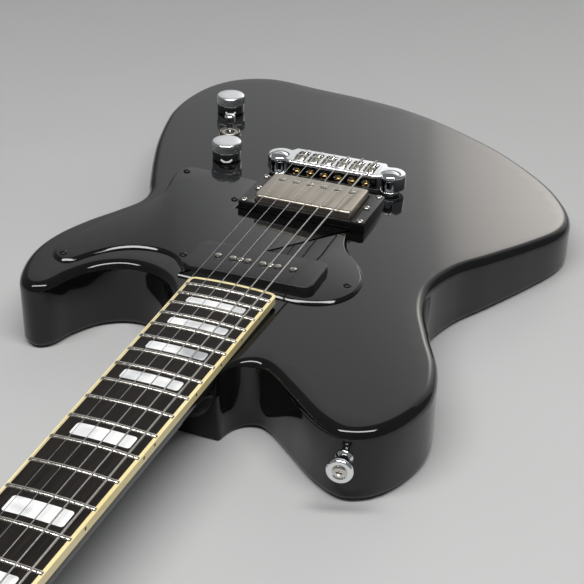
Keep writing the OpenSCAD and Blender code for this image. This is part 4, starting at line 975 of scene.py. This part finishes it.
def knob_shell(at):
    """A lathe form with a hollow foot. Between its plain skirt and its crown two sets of
    slanting grooves cut the band, r = R - d max(|sin(n a + k z)|, |sin(n a - k z)|)^5."""
    a = whole_turn(360)[None]
    lower = [(8.6, 0), (10.0, 0), (10.3, 0.3), (10.3, 6.0), (10.35, 6.3)]
    band = [(KNOB_R, z) for z in np.linspace(6.7, 12.2, 26)]
    crown = [(KNOB_R - 0.15, 12.45), (KNOB_R - 0.8, 13.1), (KNOB_R - 1.1, KNOB_H), (4, KNOB_H),
             (0.3, KNOB_H)]
    p = np.array(lower + band + crown)
    r, z = p[:, :1], p[:, 1:]
    inside = ((z > 6.6) & (z < 12.3)).astype(float)
    groove = np.maximum(np.abs(np.sin(45 * a + 2.6 * z)), np.abs(np.sin(45 * a - 2.6 * z))) ** 5
    r = r - 0.28 * groove * inside
    grid = np.stack([r * np.cos(a) + at[0], r * np.sin(a) + at[1], z + KNOB_LOW + 0 * a], -1)
    h = np.array([(0.3, 4.2), (3.1, 4.2), (8.6, 4)])
    inner = np.stack([h[:, :1] * np.cos(a) + at[0], h[:, :1] * np.sin(a) + at[1],
                      h[:, 1:] + KNOB_LOW + 0 * a], -1)
    return skin(np.concatenate([inner, grid]))


for role, at in (("volume", VOLUME_AT), ("tone", TONE_AT)):
    make(f"{role}_knob_turned", knob_shell(at), chrome, body=role, stands_for=(f"{role}_knob",),
         crease=50)
    refinish(f"{role}_shaft", brass)

# ---- Pickup switch -----------------------------------------------------------------------
# Small toggle in a round dished nut of aged nickel on a washer. Its lever is a thin steel rod
# with a turned tip.
nut_profile = soften([(6.1, 0.7), (7.7, 0.7), (7.7, 3.2), (7.3, 3.75), (6.9, 3.8), (6.1, 2.5)], 0.25, 4,
                     closed=True)


def nut_shell():
    """The nut's section carried round, its outer wall waved into fine upright flutes."""
    a = whole_turn(160)[None]
    r, z = nut_profile[:, :1], nut_profile[:, 1:]
    flute = 0.16 * (0.5 + 0.5 * np.sign(np.cos(40 * a))) * ((r > 7.6) & (z > 1) & (z < 3))
    r = r - flute
    return skin(np.stack([TOGGLE_AT[0] + r * np.cos(a), TOGGLE_AT[1] + r * np.sin(a),
                          BODY_T + z + 0 * a], -1), wrap_rows=True)


make("toggle_nut_fluted", nut_shell(), aged_nickel, stands_for=("toggle_nut",))
refinish("toggle_washer", aged_nickel)
lever = soften([(0.05, 30), (0.9, 30), (0.9, 41), (3.1, 43), (3.1, 45), (0.9, 46.6), (0.9, 50.5), (2.6, 50.5),
                (2.6, 55.6), (3.9, 55.8), (3.9, 60.4), (3.2, 61.3), (1.8, 61.8), (0.05, 61.9)],
               [0, 0.2, 0.3, 1.3, 1.3, 0.3, 0.2, 0.4, 0.2, 0.4, 0.5, 0.7, 0.8, 0], 5)
make("toggle_lever_rod", turned(lever, 40, (*TOGGLE_AT, 0)), chrome, body="toggle",
     stands_for=("toggle_lever",), crease=45)

# ---- Output jack -------------------------------------------------------------------------
# A chromed cup pressed into the edge of the lower bout, with the jack's threaded neck and nut
# at the bottom of it.
cup = soften([(4.8, -12), (10.5, -12), (10.5, 0), (13, 0), (13, 0.8), (11.6, 1.5), (9.4, 1.5), (9, 1.1),
              (9, -10.5), (4.8, -10.5)], [0, 0.3, 0, 0.2, 0.4, 0.8, 0.4, 0.3, 0.3, 0], 4, closed=True)
make("jack_cup_pressed", turned(cup, 64, JACK_AT, (1, 0, 0), ring=True), chrome,
     stands_for=("jack_cup",))
refinish("output_jack", nickel)

# ---- Strap buttons -----------------------------------------------------------------------
# Two turned buttons, chromed, one on the upper bout and one at the tail, each with a wood
# screw through its dished face.
STRAP_AXES = [((-109, 276.6, 29), 8), ((-15, -148.2, 24), 164)]
strap = soften([(1.85, 0), (5, 0), (5, 1.2), (3.9, 4), (3.9, 8.6), (6.2, 10.4), (7.3, 11.2), (7.3, 13),
                (6.6, 14), (4.6, 13.8), (1.85, 11.8)],
               [0, 0.3, 0.8, 1.5, 1.5, 1, 0.5, 0.6, 0.6, 0.5, 0], 5, closed=True)
strap_cross = cross_pattern(3.9, 1.9, 1.75, 14)
buttons, screws = [], []
for at, turn in STRAP_AXES:
    t = math.radians(turn)
    axis = (-math.sin(t), math.cos(t), 0)
    buttons.append(turned(strap, 56, at, axis, ring=True))
    screws.append((placed(strap_cross[0] + (0, 0, 12.6), at, axis), strap_cross[1]))
make("strap_button_pair", together(*buttons), chrome, stands_for=("strap_buttons",),
     crease=40)
make("strap_screw_pair", together(*screws), nickel, stands_for=("strap_screws",))

# ---- Floor, light and camera -------------------------------------------------------------
# A plain pale floor, soft lights overhead and behind, and the camera above the headstock end.
floor_mesh = bpy.data.meshes.new("floor")
floor_mesh.from_pydata([(-8, -9, 0), (8, -9, 0), (8, 7, 0), (-8, 7, 0)], [], [(0, 1, 2, 3)])
floor = bpy.data.objects.new("floor", floor_mesh)
bpy.context.collection.objects.link(floor)
pale = surface("pale_floor", (0.50, 0.50, 0.495), (0.52, 0.52, 0.515), rough=(0.55, 0.65),
               scale=(3, 3, 3), bump=0.0)
floor_mesh.materials.append(pale)

world = bpy.data.worlds.new("studio")
bpy.context.scene.world = world
world.use_nodes = True
world.node_tree.nodes["Background"].inputs["Color"].default_value = (0.94, 0.97, 1.0, 1)
world.node_tree.nodes["Background"].inputs["Strength"].default_value = 0.16
bpy.context.scene.view_settings.view_transform = "Standard"


def softbox(name, at, towards, size, glow, spread=180, colour=(1, 1, 1), roll=0):
    """A rectangular lamp of the given brightness at a point, sending its light along a
    direction, and fading at its sides where the spread is narrow."""
    lamp = bpy.data.lights.new(name, "AREA")
    lamp.shape, lamp.size, lamp.size_y = "RECTANGLE", size[0], size[1]
    lamp.energy, lamp.color = glow * math.pi * size[0] * size[1], colour
    lamp.spread = math.radians(spread)
    obj = bpy.data.objects.new(name, lamp)
    turn = Vector(towards).to_track_quat("-Z", "Y").to_matrix() @ Matrix.Rotation(roll, 3, "Z")
    obj.matrix_world = Matrix.Translation(at) @ turn.to_4x4()
    bpy.context.collection.objects.link(obj)


softbox("overhead", (-0.12, 0.6, 1.55), (0, 0, -1), (2.0, 0.32), 15.0, roll=math.radians(21))
softbox("wide_back", (0.3, -2.6, 1.25), (-0.05, 1, -0.38), (4.6, 2.4), 0.16, 80)
softbox("warm_back", (0.15, -2.5, 1.05), (0.0, 1, -0.36), (2.4, 1.6), 0.03, 40, (1.0, 0.95, 0.9))
softbox("warm_spot", (0.1, -2.5, 1.05), (0.01, 1, -0.40), (1.4, 1.2), 0.035, 22, (1.0, 0.92, 0.84))

camera = bpy.data.cameras.new("view")
camera.lens, camera.sensor_width = 85.4, 36.0
camera_obj = bpy.data.objects.new("view", camera)
ahead = Vector((0.31706, -0.80660, -0.49888)).normalized()
right = Vector((-0.92762, -0.37325, 0.01394)).normalized()
up = right.cross(ahead)
camera_obj.matrix_world = Matrix((
    (right.x, up.x, -ahead.x, -0.29423), (right.y, up.y, -ahead.y, 0.82617),
    (right.z, up.z, -ahead.z, 0.46032), (0, 0, 0, 1)))
bpy.context.collection.objects.link(camera_obj)
bpy.context.scene.camera = camera_obj
